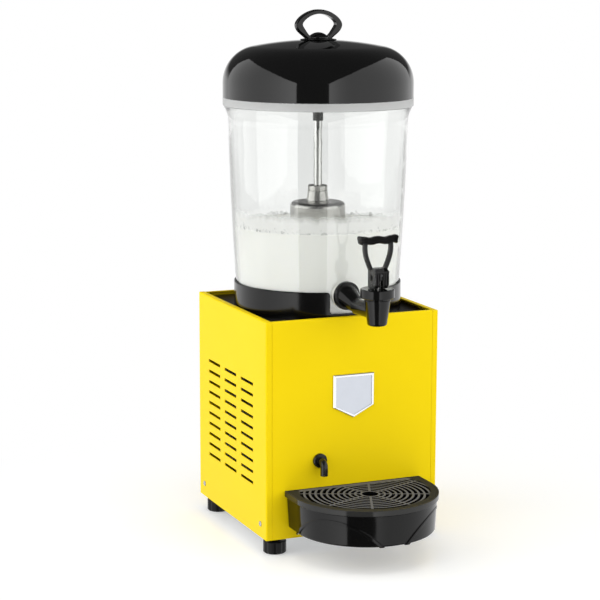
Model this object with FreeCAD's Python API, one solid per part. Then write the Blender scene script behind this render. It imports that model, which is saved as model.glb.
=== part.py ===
import FreeCAD, Part
import math
import os

# Cold drink dispenser: a sheet steel cabinet with a cooling circuit inside, a clear bowl with a
# spray column on top, a lever tap over a drip tray, and a domed lid.
# X runs across the front, Y runs from the front to the back, Z runs up. The origin lies on the
# floor, under the middle of the whole object. All sizes are in millimetres.

V = FreeCAD.Vector

# General fits and sheet
sheet = 1.2
fold_radius = 2.2
seam = 0.4
slip = 0.3
running = 0.05

# Cabinet
cabinet_width = 245.0
cabinet_depth = 250.0
cabinet_height = 288.0
foot_height = 22.0
side_return = 8.0
hem_width = 5.5
pan_rim = 26.0
deck_recess = 6.0
deck_thickness = 3.0
tray_reach = 133.0
rear_reach = 2.0

# Ventilation slots in the side panels and the back panel
vent_rows = 10
vent_columns = 3
vent_length = 44.0
vent_height = 4.2
vent_row_pitch = 14.7
vent_column_pitch = 60.5
vent_from_front = 46.0
vent_from_base = 64.0
back_vent_rows = 8
floor_vents = 7
back_vent_length = 70.0

# Screws, feet, badge and drain
screw_head_radius = 3.6
screw_radius = 2.0
screw_length = 8.0
screw_above_base = 18.0
screw_from_edge = 20.0
foot_radius = 15.5
foot_lobes = 8
foot_inset = 20.0
foot_stem_radius = 4.0
foot_stem_length = 26.0
foot_pad_height = 17.0
badge_half_width = 29.0
badge_side_height = 43.0
badge_tip_drop = 15.0
badge_above_base = 169.0
badge_thickness = 2.4
badge_border = 3.4
drain_offset = 47.6
drain_above_base = 100.6
drain_flange_radius = 9.5
drain_flange_thickness = 4.0
drain_radius = 5.0
drain_bore_radius = 3.4
drain_reach = 15.0
drain_drop = 17.0
drain_inset = 46.0

# Cold well and its plate
well_radius = 103.9
well_wall = 2.2
well_depth = 46.0
plate_thickness = 1.5
plate_drop = 2.5
gasket_height = 4.3
gasket_width = 11.0
spigot_radius = 4.0
spigot_height = 15.0
coil_radius = 4.0
coil_inner = 44.0
coil_pitch = 12.6
coil_half_turns = 8
motor_bore = 27.0

# Bowl
bowl_setback = 119.0
bowl_height = 279.2
bowl_wall = 3.0
bowl_base_radius = 107.2
bowl_waist_inset = 11.7
bowl_shoulder_inset = 7.3
bowl_shoulder_drop = 33.0
bowl_rim_radius = 126.6
bowl_rim_band = 10.0
collar_height = 37.0
collar_wall = 2.0
notch_half_width = 29.0
notch_above_deck = 9.0
notch_corner = 4.0
drink_depth = 114.0

# Lid and its handle
lid_wall = 2.6
lid_skirt = 19.0
lid_shoulder = 49.0
lid_crown_angle = 11.3
lid_lip_depth = 8.0
handle_height = 39.3
handle_half_width = 33.0
handle_thickness = 10.0
handle_band = 8.8
handle_top_band = 5.8
handle_edge = 2.4
handle_base_radius = 24.4
handle_sink = 0.7
handle_plate = 3.0
cap_radius = 13.4
cap_height = 7.2

# Spray column and pump
bell_radius = 36.8
bell_height = 144.8
bell_wall = 1.0
bell_shoulder = 6.0
neck_radius = 12.8
neck_foot_radius = 15.5
neck_height = 22.0
neck_band = 7.0
tube_radius = 5.5
tube_bore = 4.5
tube_above_neck = 98.0
nozzle_radius = 6.7
nozzle_length = 38.0
nozzle_head_radius = 15.0
housing_radius = 30.0
housing_wall = 2.0
housing_height = 19.5
impeller_radius = 24.0
impeller_height = 11.0
magnet_radius = 24.0
magnet_height = 11.0
pump_motor_radius = 32.0
pump_motor_height = 54.0
motor_shaft_radius = 3.0

# Tap
tap_above_deck = 33.0
tap_turn = 5.0
tap_reach = 70.0
shank_drop = 9.8
shank_radius = 9.0
shank_bore = 6.5
flange_radius = 18.4
flange_thickness = 7.0
washer_thickness = 3.4
inner_washer_thickness = 4.6
cone_radius = 15.6
cone_length = 24.0
pipe_radius = 10.2
pipe_step = 1.2
tap_nut_radius = 15.0
tap_nut_thickness = 6.5
barrel_foot_radius = 12.6
barrel_top_radius = 16.8
barrel_height = 33.0
chamber_radius = 12.6
outlet_radius = 8.5
bonnet_radius = 21.8
bonnet_height = 12.0
bonnet_groove = 2.2
bonnet_neck_radius = 15.4
bonnet_above_deck = 53.7
stem_radius = 3.0
pin_radius = 2.0
pin_above_bonnet = 14.0
cam_offset = 6.5
spring_wire = 0.55
spring_radius = 7.5
spring_turns = 4.0
lever_half_width = 9.6
lever_height = 69.0
lever_bar_half = 27.4
lever_bar_height = 11.8
lever_arm_half = 19.7
lever_arm_width = 5.9
fork_half_gap = 3.9

# Drip tray and its grille
tray_radius = 96.8
tray_height = 48.8
tray_above_floor = 38.0
tray_gap = 0.6
tray_rim = 8.0
tray_rim_step = 2.2
tray_taper = 2.0
tray_wall = 2.4
tray_floor = 3.0
grille_thickness = 4.0
grille_border = 10.5
grille_rib = 3.0
grille_pitch = 7.3
grille_spokes = 8
grille_hole_radius = 10.5
grille_hole_from_panel = 54.0
arch_radius = 74.0
arch_height = 31.5
arch_rib = 3.2
arch_proud = 1.1
arch_turn = 51.0
tongue_width = 16.0
tongue_length = 70.0
tongue_spread = 55.0
tongue_thickness = 2.0

# Cooling circuit in the cabinet
pot_radius = 52.0
pot_height = 142.0
pot_port = 17.0
pot_x = 55.0
pot_from_back = 84.0
mount_height = 12.0
condenser_depth = 26.0
condenser_from_side = 9.0
condenser_from_front = 30.0
condenser_length = 165.0
condenser_low = 34.0
condenser_pass_pitch = 23.5
condenser_passes = 7
condenser_fins = 16
condenser_tube = 4.0
fan_radius = 62.0
fan_hub_radius = 14.0
fan_blade_count = 5
fan_tip_gap = 4.0
shroud_depth = 14.0
fan_motor_radius = 23.0
fan_motor_length = 34.0
drier_radius = 9.0
drier_length = 90.0
line_radius = 3.2
line_bend = 7.5
capillary_radius = 1.5

# Switches, thermostat and power inlet on the back panel
switch_above_base = 215.0
switch_places = (-78.0, -46.0)
switch_half_width = 6.5
switch_half_height = 10.8
switch_wall = 1.2
switch_bezel = 2.0
switch_depth = 16.0
rocker_lean = 6.0
rocker_pivot_radius = 1.5
rocker_pivot_depth = 2.1
thermostat_half_width = 20.0
thermostat_half_height = 17.0
thermostat_depth = 25.0
spindle_x = 62.0
spindle_radius = 4.0
bush_radius = 6.0
inlet_x = 70.0
inlet_above_base = 40.0
inlet_half_width = 13.8
inlet_half_height = 10.0
inlet_flange_half_width = 25.0
inlet_flange_half_height = 11.5

# Places worked out from the sizes above
half_width = cabinet_width / 2
inner_half = half_width - sheet
front_y = (tray_reach - cabinet_depth - rear_reach) / 2
back_y = front_y + cabinet_depth
inner_front = front_y + sheet
inner_back = back_y - sheet
cabinet_top = foot_height + cabinet_height
pan_top = foot_height + sheet
deck_top = cabinet_top - deck_recess
deck_under = deck_top - deck_thickness
well_floor = deck_top - well_depth
plate_top = deck_top - plate_drop
bowl_y = front_y + bowl_setback
axis = V(0, bowl_y, 0)
bowl_base = plate_top + gasket_height
bowl_top = bowl_base + bowl_height
bowl_shoulder_radius = bowl_rim_radius - bowl_shoulder_inset
bowl_waist_radius = bowl_rim_radius - bowl_waist_inset
lid_crown_radius = (bowl_rim_radius - lid_shoulder) / math.sin(math.radians(lid_crown_angle)) + lid_shoulder
lid_crown = (bowl_top + lid_skirt + lid_shoulder * math.cos(math.radians(lid_crown_angle))
             + lid_crown_radius * (1 - math.cos(math.radians(lid_crown_angle))))
bell_top = plate_top + bell_height
tap_y = front_y - tap_reach
bonnet_top = deck_top + bonnet_above_deck
pin_z = bonnet_top + pin_above_bonnet
tray_top = tray_above_floor + tray_height
tray_centre_y = front_y - (tray_reach - tray_radius)
hole_y = front_y - grille_hole_from_panel
switch_z = foot_height + switch_above_base
inlet_z = foot_height + inlet_above_base


def face_of(steps, place):
    """Closed face from corner points; a pair of points is an arc through the first to the second."""
    edges = []
    here = place(*steps[0])
    for step in steps[1:] + [steps[0]]:
        if isinstance(step[0], tuple):
            end = place(*step[1])
            edges.append(Part.Arc(here, place(*step[0]), end).toShape())
        else:
            end = place(*step)
            if (end - here).Length > 0.0001:
                edges.append(Part.LineSegment(here, end).toShape())
        here = end
    return Part.Face(Part.Wire(edges))


def revolved(steps, origin=axis, direction=V(0, 0, 1)):
    """Full turn of a radius and height profile about an axis through origin."""
    face = face_of(steps, lambda r, h: V(r, 0, h))
    solid = face.revolve(V(0, 0, 0), V(0, 0, 1), 360)
    solid.Placement = FreeCAD.Placement(origin, FreeCAD.Rotation(V(0, 0, 1), direction))
    return solid


def plan(steps, low, height):
    """Outline seen from above, raised from low."""
    return face_of(steps, lambda x, y: V(x, y, low)).extrude(V(0, 0, height))


def seen_from_front(steps, near, depth):
    """Outline in X and Z, taken backwards from near."""
    return face_of(steps, lambda x, z: V(x, near, z)).extrude(V(0, depth, 0))


def seen_from_side(steps, left, width):
    """Outline in Y and Z, taken across from left."""
    return face_of(steps, lambda y, z: V(left, y, z)).extrude(V(width, 0, 0))


def box(low, high):
    return Part.makeBox(high.x - low.x, high.y - low.y, high.z - low.z, low)


def rod(start, end, radius):
    return Part.makeCylinder(radius, (end - start).Length, start, end - start)


def joined(shapes):
    return shapes[0].fuse(shapes[1:]).removeSplitter()


def dome(radius, low, high):
    """Middle and top of a round cap's profile, from its rim to the axis."""
    rise = high - low
    ball = (radius * radius + rise * rise) / (2 * rise)
    half = math.asin(radius / ball) / 2
    return ((ball * math.sin(half), high - ball + ball * math.cos(half)), (0, high))


def bent_path(points, bend):
    """Straight runs joined by tangent arcs of one radius."""
    edges = []
    start = points[0]
    for before, corner, after in zip(points, points[1:], points[2:]):
        into = (corner - before).normalize()
        out = (after - corner).normalize()
        half = into.getAngle(out) / 2
        setback = bend * math.tan(half)
        inward = (out - into).normalize()
        first = corner - into * setback
        middle = corner + inward * (bend / math.cos(half) - bend)
        last = corner + out * setback
        edges.append(Part.LineSegment(start, first).toShape())
        edges.append(Part.Arc(first, middle, last).toShape())
        start = last
    edges.append(Part.LineSegment(start, points[-1]).toShape())
    return Part.Wire(edges)


def tube(path, radius):
    start = path.Edges[0].Vertexes[0].Point
    heading = path.Edges[0].tangentAt(path.Edges[0].FirstParameter)
    ring = Part.Wire(Part.Circle(start, heading, radius).toShape())
    return path.makePipeShell([ring], True, False)


def arc_radius_at(low, middle, high, height):
    """Radius of the arc through three (radius, height) points at a height."""
    curve = Part.Arc(V(low[0], low[1], 0), V(middle[0], middle[1], 0), V(high[0], high[1], 0))
    level = Part.LineSegment(V(0, height, 0), V(2 * high[0], height, 0))
    return curve.toShape().distToShape(level.toShape())[1][0][0].x


def across(edges, test):
    return [edge for edge in edges if all(test(v) for v in edge.Vertexes)]


def upright_edges(solid):
    return [edge for edge in solid.Edges if abs(edge.tangentAt(edge.FirstParameter).z) > 0.9]


# Cabinet shell

def vents(x_low, x_high):
    slots = []
    for column in range(vent_columns):
        for row in range(vent_rows):
            y = front_y + vent_from_front + column * vent_column_pitch
            z = foot_height + vent_from_base + row * vent_row_pitch
            slots.append(box(V(x_low, y, z), V(x_high, y + vent_length, z + vent_height)))
    return slots


def side_screw_places():
    z = foot_height + screw_above_base
    return [(y, z) for y in (front_y + screw_from_edge, back_y - screw_from_edge)]


def back_screw_places():
    x = half_width - side_return - 12.0
    return [(side * x, z) for side in (-1, 1) for z in (foot_height + screw_above_base, deck_under - 14.0)]


def side_panel(side):
    """Pressed pan: wall, front and back returns and a top hem, with rolled outer edges."""
    def pan(gap, base, radius):
        low = V(half_width - side_return - gap, front_y + gap, base)
        solid = box(low, V(half_width - gap, back_y - gap, cabinet_top - gap))
        outer = across(solid.Edges, lambda v: abs(v.X - (half_width - gap)) < 0.001)
        bends = [edge for edge in outer if edge.CenterOfMass.z > base + 1]
        return solid.makeFillet(radius, bends)
    shell = pan(0, foot_height, fold_radius).cut(pan(sheet, foot_height - 1, fold_radius - sheet))
    holes = vents(inner_half - 1, half_width + 1)
    holes += [rod(V(inner_half - 1, y, z), V(half_width + 1, y, z), screw_radius + slip / 2)
              for y, z in side_screw_places()]
    shell = shell.cut(holes)
    return shell if side > 0 else shell.mirror(V(0, 0, 0), V(1, 0, 0))


def folded_front(near, far):
    """Flat wall between the side returns with a hem turned inwards along its top."""
    half = half_width - side_return - seam
    inward = 1 if far > near else -1
    wall = box(V(-half, min(near, near + inward * hem_width), foot_height),
               V(half, max(near, near + inward * hem_width), cabinet_top))
    rolled = [edge for edge in wall.Edges if abs(edge.CenterOfMass.y - near) < 0.001
              and abs(edge.CenterOfMass.z - cabinet_top) < 0.001]
    wall = wall.makeFillet(fold_radius, rolled)
    low = near + inward * sheet
    room = box(V(-half - 1, min(low, near + inward * 20), foot_height - 1),
               V(half + 1, max(low, near + inward * 20), cabinet_top - sheet))
    inner = [edge for edge in room.Edges if abs(edge.CenterOfMass.y - low) < 0.001
             and abs(edge.CenterOfMass.z - cabinet_top + sheet) < 0.001]
    return wall.cut(room.makeFillet(fold_radius - sheet, inner))


def front_panel():
    wall = folded_front(front_y, back_y)
    cuts = [rod(V(-drain_offset, front_y - 1, foot_height + drain_above_base),
                V(-drain_offset, front_y + 5, foot_height + drain_above_base), drain_radius + 1 + slip / 2)]
    cuts += [tongue(side, slip, front_y - 1, front_y + 5) for side in (-1, 1)]
    return wall.cut(cuts)


def back_panel():
    wall = folded_front(back_y, front_y)
    cuts = []
    for row in range(back_vent_rows):
        z = foot_height + vent_from_base + row * vent_row_pitch
        for x in (-half_width + 35.0, half_width - 35.0 - back_vent_length):
            cuts.append(box(V(x, back_y - 5, z), V(x + back_vent_length, back_y + 1, z + vent_height)))
    for x in switch_places:
        cuts.append(box(V(x - switch_half_width - slip, back_y - 5, switch_z - switch_half_height - slip),
                        V(x + switch_half_width + slip, back_y + 1, switch_z + switch_half_height + slip)))
    bush = V(spindle_x, back_y - 5, switch_z)
    cuts.append(rod(bush, bush + V(0, 6, 0), bush_radius + slip / 2))
    cuts.append(seen_from_front(inlet_outline(slip), back_y - 5, 6))
    cuts += [rod(V(x, back_y - 5, z), V(x, back_y + 1, z), screw_radius + slip / 2)
             for x, z in back_screw_places()]
    return wall.cut(cuts)


def base_pan():
    """Floor tray of the cabinet, with a rim all round and slots for the air."""
    pan = box(V(-inner_half, inner_front, foot_height), V(inner_half, inner_back, foot_height + pan_rim))
    pan = pan.makeFillet(fold_radius, upright_edges(pan))
    room = box(V(-inner_half + sheet, inner_front + sheet, pan_top),
               V(inner_half - sheet, inner_back - sheet, cabinet_top))
    cuts = [room]
    for x, y in foot_places():
        cuts.append(rod(V(x, y, 0), V(x, y, cabinet_top), foot_stem_radius + running))
    for row in range(floor_vents):
        y = inner_front + 60.0 + row * 12.0
        cuts.append(box(V(-30, y, 0), V(30, y + vent_height, pan_top + 1)))
    cuts += [tongue(side, slip, front_y, inner_front + 5) for side in (-1, 1)]
    for y, z in side_screw_places():
        cuts.append(rod(V(-half_width, y, z), V(half_width, y, z), screw_radius))
    for x, z in back_screw_places():
        cuts.append(rod(V(x, inner_back - 5, z), V(x, inner_back + 1, z), screw_radius))
    return pan.cut(cuts)


def screw(place, outward):
    """Pan head screw standing on a face; its shank goes inwards."""
    head = screw_head_radius
    profile = [(0, -screw_length), (screw_radius, -screw_length), (screw_radius, 0), (head, 0), (head, 0.5),
               dome(head, 0.5, 1.9)]
    return revolved(profile, place, outward)


def panel_screws():
    screws = []
    for side in (-1, 1):
        for y, z in side_screw_places():
            screws.append(screw(V(side * half_width, y, z), V(side, 0, 0)))
    for x, z in back_screw_places():
        screws.append(screw(V(x, back_y, z), V(0, 1, 0)))
    return Part.makeCompound(screws)


def foot_places():
    x = half_width - foot_inset
    return [(-x, front_y + foot_inset), (x, front_y + foot_inset),
            (-x, back_y - foot_inset), (x, back_y - foot_inset)]


def levelling_foot(x, y):
    """Lobed pad on a screwed stem, with a shoulder under the cabinet floor."""
    pad = rod(V(x, y, 0), V(x, y, foot_pad_height), foot_radius)
    pad = pad.makeChamfer(1.6, [edge for edge in pad.Edges if edge.Closed])
    step = 360.0 / foot_lobes
    scallops = []
    for lobe in range(foot_lobes):
        angle = math.radians((lobe + 0.5) * step)
        reach = foot_radius + 7.2
        centre = V(x + reach * math.cos(angle), y + reach * math.sin(angle), -1)
        scallops.append(rod(centre, centre + V(0, 0, foot_pad_height + 2), 8.2))
    pad = pad.cut(scallops)
    shoulder = rod(V(x, y, foot_pad_height), V(x, y, foot_height), foot_stem_radius + 3.5)
    stem = rod(V(x, y, foot_height), V(x, y, foot_height + foot_stem_length), foot_stem_radius)
    return joined([pad, shoulder, stem])


def badge_plate():
    """Shield plate with a raised border and a bare field."""
    low = foot_height + badge_above_base
    def shield(inset):
        half = badge_half_width - inset
        tip = low - badge_tip_drop + inset * 1.1
        return [(-half, low + inset * 0.3), (-half, low + badge_side_height - inset),
                (half, low + badge_side_height - inset), (half, low + inset * 0.3), (0, tip)]
    plate = seen_from_front(shield(0), front_y - badge_thickness, badge_thickness)
    face = [edge for edge in plate.Edges if abs(edge.CenterOfMass.y - front_y + badge_thickness) < 0.001]
    plate = plate.makeChamfer(0.9, face)
    field = seen_from_front(shield(badge_border), front_y - badge_thickness - 1, 2.0)
    return plate.cut(field)


def drain_spout():
    """Elbow with a round flange on the front panel and a hose tail behind it."""
    z = foot_height + drain_above_base
    y = front_y - drain_flange_thickness
    flange = rod(V(-drain_offset, y, z), V(-drain_offset, front_y, z), drain_flange_radius)
    flange = flange.makeChamfer(1.0, [edge for edge in flange.Edges if abs(edge.CenterOfMass.y - y) < 0.001])
    nut = rod(V(-drain_offset, inner_front, z), V(-drain_offset, inner_front + 4, z), drain_flange_radius - 1)
    inside = V(-drain_offset, inner_front + 16, z)
    corner = V(-drain_offset, front_y - drain_reach, z)
    mouth = corner - V(0, 0, drain_drop)
    path = bent_path([inside, corner, mouth], drain_radius + 2)
    shank = rod(V(-drain_offset, y, z), V(-drain_offset, inner_front + 6, z), drain_radius + 1)
    body = joined([tube(path, drain_radius), shank, flange, nut])
    return body.cut(tube(bent_path([inside + V(0, 1, 0), corner, mouth - V(0, 0, 1)], drain_radius + 2),
                         drain_bore_radius))


def drain_hose():
    z = foot_height + drain_above_base
    start = V(-drain_offset, inner_front + 7, z)
    corner = V(-drain_offset, inner_front + drain_inset, z)
    end = V(corner.x, corner.y, well_floor - well_wall)
    outer = tube(bent_path([start, corner, end], 26.0), drain_radius + 2)
    inner = tube(bent_path([start - V(0, 1, 0), corner, end + V(0, 0, 1)], 26.0), drain_radius)
    return outer.cut(inner)


# Cold well, plate and refrigeration coil

def top_deck():
    """Recessed black deck with the round cold well hanging under it."""
    plate = box(V(-inner_half, inner_front, deck_under), V(inner_half, inner_back, deck_top))
    plate = plate.makeFillet(fold_radius, upright_edges(plate))
    outer = well_radius + well_wall
    well = revolved([(0, well_floor - well_wall), (outer - 3, well_floor - well_wall),
                     ((outer - 0.9, well_floor - well_wall + 0.9), (outer, well_floor - well_wall + 3)),
                     (outer, deck_top), (0, deck_top)])
    room = rod(axis + V(0, 0, well_floor), axis + V(0, 0, deck_top + 1), well_radius)
    body = joined([plate, well])
    cuts = [room, rod(axis + V(0, 0, well_floor - 5), axis + V(0, 0, deck_top), motor_bore - 8)]
    start, end = coil_ends()
    for place in (start, end):
        low = V(place.x, place.y, well_floor - 5)
        cuts.append(rod(low, low + V(0, 0, 6), coil_radius + 1))
    low = V(-drain_offset, inner_front + drain_inset, well_floor - 5)
    cuts.append(rod(low, low + V(0, 0, 6), drain_radius))
    return body.cut(cuts)


def insulation():
    """Foam that fills the well round the coil and the motor's shaft."""
    top = plate_top - plate_thickness
    foam = revolved([(motor_bore, well_floor), (well_radius - slip, well_floor), (well_radius - slip, top),
                     (well_radius - 3, top), (well_radius - 3, top - 2 * coil_radius - 1),
                     (motor_bore + 4, top - 2 * coil_radius - 1), (motor_bore + 4, top), (motor_bore, top)])
    cuts = []
    for place in coil_ends():
        cuts.append(rod(V(place.x, place.y, well_floor - 5), V(place.x, place.y, top), coil_radius + 1))
        bend = 3.5 * coil_radius * (1 if place.y < bowl_y else -1)
        low = coil_level() - 2.5 * coil_radius
        cuts.append(box(V(place.x - coil_radius - 1, min(place.y, place.y + bend), low),
                        V(place.x + coil_radius + 1, max(place.y, place.y + bend), top)))
    cuts.append(rod(V(-drain_offset, inner_front + drain_inset, well_floor - 5),
                    V(-drain_offset, inner_front + drain_inset, top), drain_radius))
    return foam.cut(cuts)


def cold_plate():
    """Stainless floor of the bowl, with the pin that the impeller turns on."""
    top = plate_top
    edge = well_radius - slip
    return revolved([(0, top - plate_thickness), (edge, top - plate_thickness), (edge, top),
                     (spigot_radius + 3, top), ((spigot_radius + 0.9, top + 0.9), (spigot_radius, top + 3)),
                     (spigot_radius, top + spigot_height - 1), (spigot_radius - 1, top + spigot_height),
                     (0, top + spigot_height)])


def coil_level():
    return plate_top - plate_thickness - coil_radius - 0.1


def coil_ends():
    """Where the coil's two tails go down, at the inner and at the outer end."""
    outer = coil_inner + coil_half_turns * coil_pitch / 2
    return [V(coil_inner, bowl_y - 12.0, 0), V(outer, bowl_y + 20.0, 0)]


def evaporator_coil():
    """Flat spiral of half turns under the plate; its outer tail is the suction pipe to the compressor."""
    z = coil_level()
    inner_tail, outer_tail = coil_ends()
    bend = coil_radius * 2.5
    edges = []
    radius = coil_inner
    centre = V(0, bowl_y, z)
    side = 1
    for half_turn in range(coil_half_turns):
        start = centre + V(side * radius, 0, 0)
        through = centre + V(0, side * radius, 0)
        end = centre - V(side * radius, 0, 0)
        edges.append(Part.Arc(start, through, end).toShape())
        centre = centre + V(side * coil_pitch / 2, 0, 0)
        radius += coil_pitch / 2
        side = -side
    last = edges[-1].Vertexes[-1].Point
    first = edges[0].Vertexes[0].Point
    foot = V(inner_tail.x, inner_tail.y, well_floor - 12)
    down = bent_path([foot, V(inner_tail.x, inner_tail.y, z), first], bend)
    port = V(pot_x + pot_port, pot_y(), pot_top())
    out = bent_path([last, V(last.x, outer_tail.y, z), V(last.x, outer_tail.y, suction_z()),
                     V(port.x, port.y, suction_z()), port], bend)
    path = Part.Wire(Part.__sortEdges__(down.Edges + edges + out.Edges))
    return tube(path, coil_radius)


# Compressor, condenser, fan and lines

def pot_y():
    return inner_back - pot_from_back


def pot_top():
    return pan_top + mount_height + 3.0 + pot_height


def suction_z():
    return pot_top() + 30.0


def compressor():
    """Hermetic pot with a welded seam, on a pressed base plate with four ears."""
    base = pan_top + mount_height
    centre = V(pot_x, pot_y(), 0)
    low = base + 3.0
    top = pot_top()
    seam_z = low + pot_height * 0.55
    pot = revolved([(0, low), (pot_radius - 14, low), ((pot_radius - 6, low + 4), (pot_radius - 2, low + 14)),
                    (pot_radius - 2, seam_z - 4), (pot_radius, seam_z - 4), (pot_radius, seam_z + 4),
                    (pot_radius - 3, seam_z + 4), (pot_radius - 3, top - 26),
                    ((pot_radius - 12, top - 8), (pot_radius - 30, top)), (0, top)], centre)
    plate = plan([(pot_x - 60, pot_y() - 42), (pot_x + 60, pot_y() - 42),
                  (pot_x + 60, pot_y() + 42), (pot_x - 60, pot_y() + 42)], base, 3.0)
    plate = plate.makeFillet(10, upright_edges(plate))
    plate = plate.cut([rod(V(x, y, 0), V(x, y, base + 5), 4.0) for x, y in mount_places()])
    out = discharge_start()
    stub = rod(V(out.x + 26, out.y, out.z), out, line_radius + 1.2)
    process = rod(V(pot_x - 22, pot_y(), top - 6), V(pot_x - 22, pot_y(), top + 16), 3.0)
    return joined([pot, plate, stub, process])


def discharge_start():
    return V(pot_x - pot_radius - 6, pot_y() + 22, pot_top() - 50)


def mount_places():
    return [(pot_x + dx, pot_y() + dy) for dx in (-50, 50) for dy in (-33, 33)]


def compressor_mounts():
    """Rubber grommets between the base pan and the compressor's plate."""
    mounts = []
    for x, y in mount_places():
        base = V(x, y, 0)
        low = pan_top
        high = pan_top + mount_height
        mounts.append(revolved([(0, low), (9, low), (9, low + 3), (7, low + 5), (9, high - 3), (9, high),
                                (3.9, high), (3.9, high + 3), (6.5, high + 3), (6.5, high + 5),
                                (0, high + 5)], base))
    return Part.makeCompound(mounts)


def terminal_cover():
    """Moulded cover of the terminals on the front of the pot."""
    z = pan_top + mount_height + 40.0
    near = pot_y() - pot_radius - 22
    w, r = 26.0, 8.0
    k = r * (1 - math.sin(math.radians(45)))
    cover = plan([(pot_x - w, pot_y()), (pot_x - w, near + r),
                  ((pot_x - w + k, near + k), (pot_x - w + r, near)), (pot_x + w - r, near),
                  ((pot_x + w - k, near + k), (pot_x + w, near + r)), (pot_x + w, pot_y())], z, 46.0)
    pot_room = rod(V(pot_x, pot_y(), z - 1), V(pot_x, pot_y(), z + 50), pot_radius + 0.2)
    rear = box(V(pot_x - 60, pot_y() - 10, z - 1), V(pot_x + 60, pot_y() + 60, z + 50))
    return cover.cut([pot_room, rear])


def condenser_x():
    return -inner_half + condenser_from_side


def condenser_rows():
    base = pan_top + condenser_low + 8.0
    return [base + row * condenser_pass_pitch for row in range(condenser_passes)]


def condenser():
    """Serpentine tube through upright fins, between two end plates that stand on the base pan."""
    x = condenser_x() + condenser_depth / 2
    near = front_y + condenser_from_front
    far = near + condenser_length
    rows = condenser_rows()
    low = rows[0] - 12
    high = rows[-1] + 12
    turn = condenser_pass_pitch / 2
    edges = []
    y, other = near - 4, far + 4
    edges.append(Part.LineSegment(V(x, drier_y() + 8, rows[0]), V(x, y, rows[0])).toShape())
    for row, z in enumerate(rows):
        edges.append(Part.LineSegment(V(x, y, z), V(x, other, z)).toShape())
        if row < len(rows) - 1:
            bulge = turn if other > y else -turn
            edges.append(Part.Arc(V(x, other, z), V(x, other + bulge, z + turn),
                                  V(x, other, z + 2 * turn)).toShape())
        y, other = other, y
    path = Part.Wire(edges)
    pieces = [tube(path, condenser_tube)]
    pitch = (condenser_length - 8.0) / (condenser_fins - 1)
    for fin in range(condenser_fins):
        place = near + 3.5 + fin * pitch
        corner = V(condenser_x(), place, low)
        pieces.append(box(corner, V(condenser_x() + condenser_depth, place + 0.8, high)))
    for place in (near, far - 1.5):
        pieces.append(box(V(condenser_x(), place, pan_top),
                          V(condenser_x() + condenser_depth, place + 1.5, high)))
    return joined(pieces)


def fan_axis():
    rows = condenser_rows()
    y = front_y + condenser_from_front + condenser_length / 2
    return V(condenser_x() + condenser_depth, y, (rows[0] + rows[-1]) / 2)


def fan_shroud():
    """Square plate against the condenser with a rolled collar round the fan."""
    centre = fan_axis()
    rows = condenser_rows()
    near = front_y + condenser_from_front
    inner = fan_radius + fan_tip_gap
    plate = box(V(centre.x, near, pan_top), V(centre.x + 1.2, near + condenser_length, rows[-1] + 12))
    collar = rod(centre, centre + V(shroud_depth, 0, 0), inner + 1.5)
    opening = rod(centre - V(1, 0, 0), centre + V(shroud_depth + 1, 0, 0), inner)
    return joined([plate, collar]).cut(opening)


def fan_motor():
    """Shaded-pole motor on four rod arms that are screwed to the shroud plate."""
    centre = fan_axis()
    face = centre + V(shroud_depth + 4, 0, 0)
    can = revolved([(0, 0), (9, 0), (9, 3), (fan_motor_radius - 2, 3), (fan_motor_radius, 5),
                    (fan_motor_radius, fan_motor_length - 3), (fan_motor_radius - 3, fan_motor_length),
                    (0, fan_motor_length)], face, V(1, 0, 0))
    reach = fan_radius + fan_tip_gap + 7.0
    pieces = [can]
    for quarter in range(4):
        angle = math.radians(45 + 90 * quarter)
        out = V(0, math.cos(angle), math.sin(angle))
        start = face + V(12, 0, 0) + out * (fan_motor_radius - 2)
        corner = face + V(12, 0, 0) + out * reach
        end = V(centre.x + 1.2, corner.y, corner.z)
        pieces.append(tube(bent_path([start, corner, end], 6.0), 2.2))
        pieces.append(rod(end, end + V(1.5, 0, 0), 5.0))
    bore = rod(face - V(1, 0, 0), face + V(16, 0, 0), motor_shaft_radius + running)
    return joined(pieces).cut(bore)


def fan_blades():
    """Hub with pitched blades; each blade is lofted from a steep root to a flat tip."""
    centre = fan_axis()
    hub_start = centre + V(2.5, 0, 0)
    hub = revolved([(0, 0), (fan_hub_radius - 3, 0), ((fan_hub_radius - 0.9, 0.9), (fan_hub_radius, 3)),
                    (fan_hub_radius, 10), (0, 10)], hub_start, V(1, 0, 0))
    shaft = rod(hub_start + V(9, 0, 0), centre + V(shroud_depth + 4 + 12, 0, 0), motor_shaft_radius)
    mid = centre + V(7.5, 0, 0)
    blades = []
    for blade in range(fan_blade_count):
        sections = []
        for radius, chord, pitch in ((fan_hub_radius - 2, 14.0, 38.0), (fan_radius - 1, 40.0, 16.0)):
            lean = math.radians(pitch)
            half = chord / 2
            rise, run = half * math.sin(lean), half * math.cos(lean)
            rise = min(rise, 5.0)
            points = [V(-rise - 0.5, -run, radius), V(-rise + 0.5, -run, radius),
                      V(rise + 0.5, run, radius), V(rise - 0.5, run, radius)]
            sections.append(Part.makePolygon(points + [points[0]]))
        solid = Part.makeLoft(sections, True, True)
        solid.rotate(V(0, 0, 0), V(1, 0, 0), blade * 360.0 / fan_blade_count)
        solid.translate(mid)
        blades.append(solid)
    tips = rod(centre - V(20, 0, 0), centre + V(60, 0, 0), fan_radius)
    return joined([hub, shaft] + [blade.common(tips) for blade in blades])


def drier_y():
    return front_y + condenser_from_front - 13.0


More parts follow.
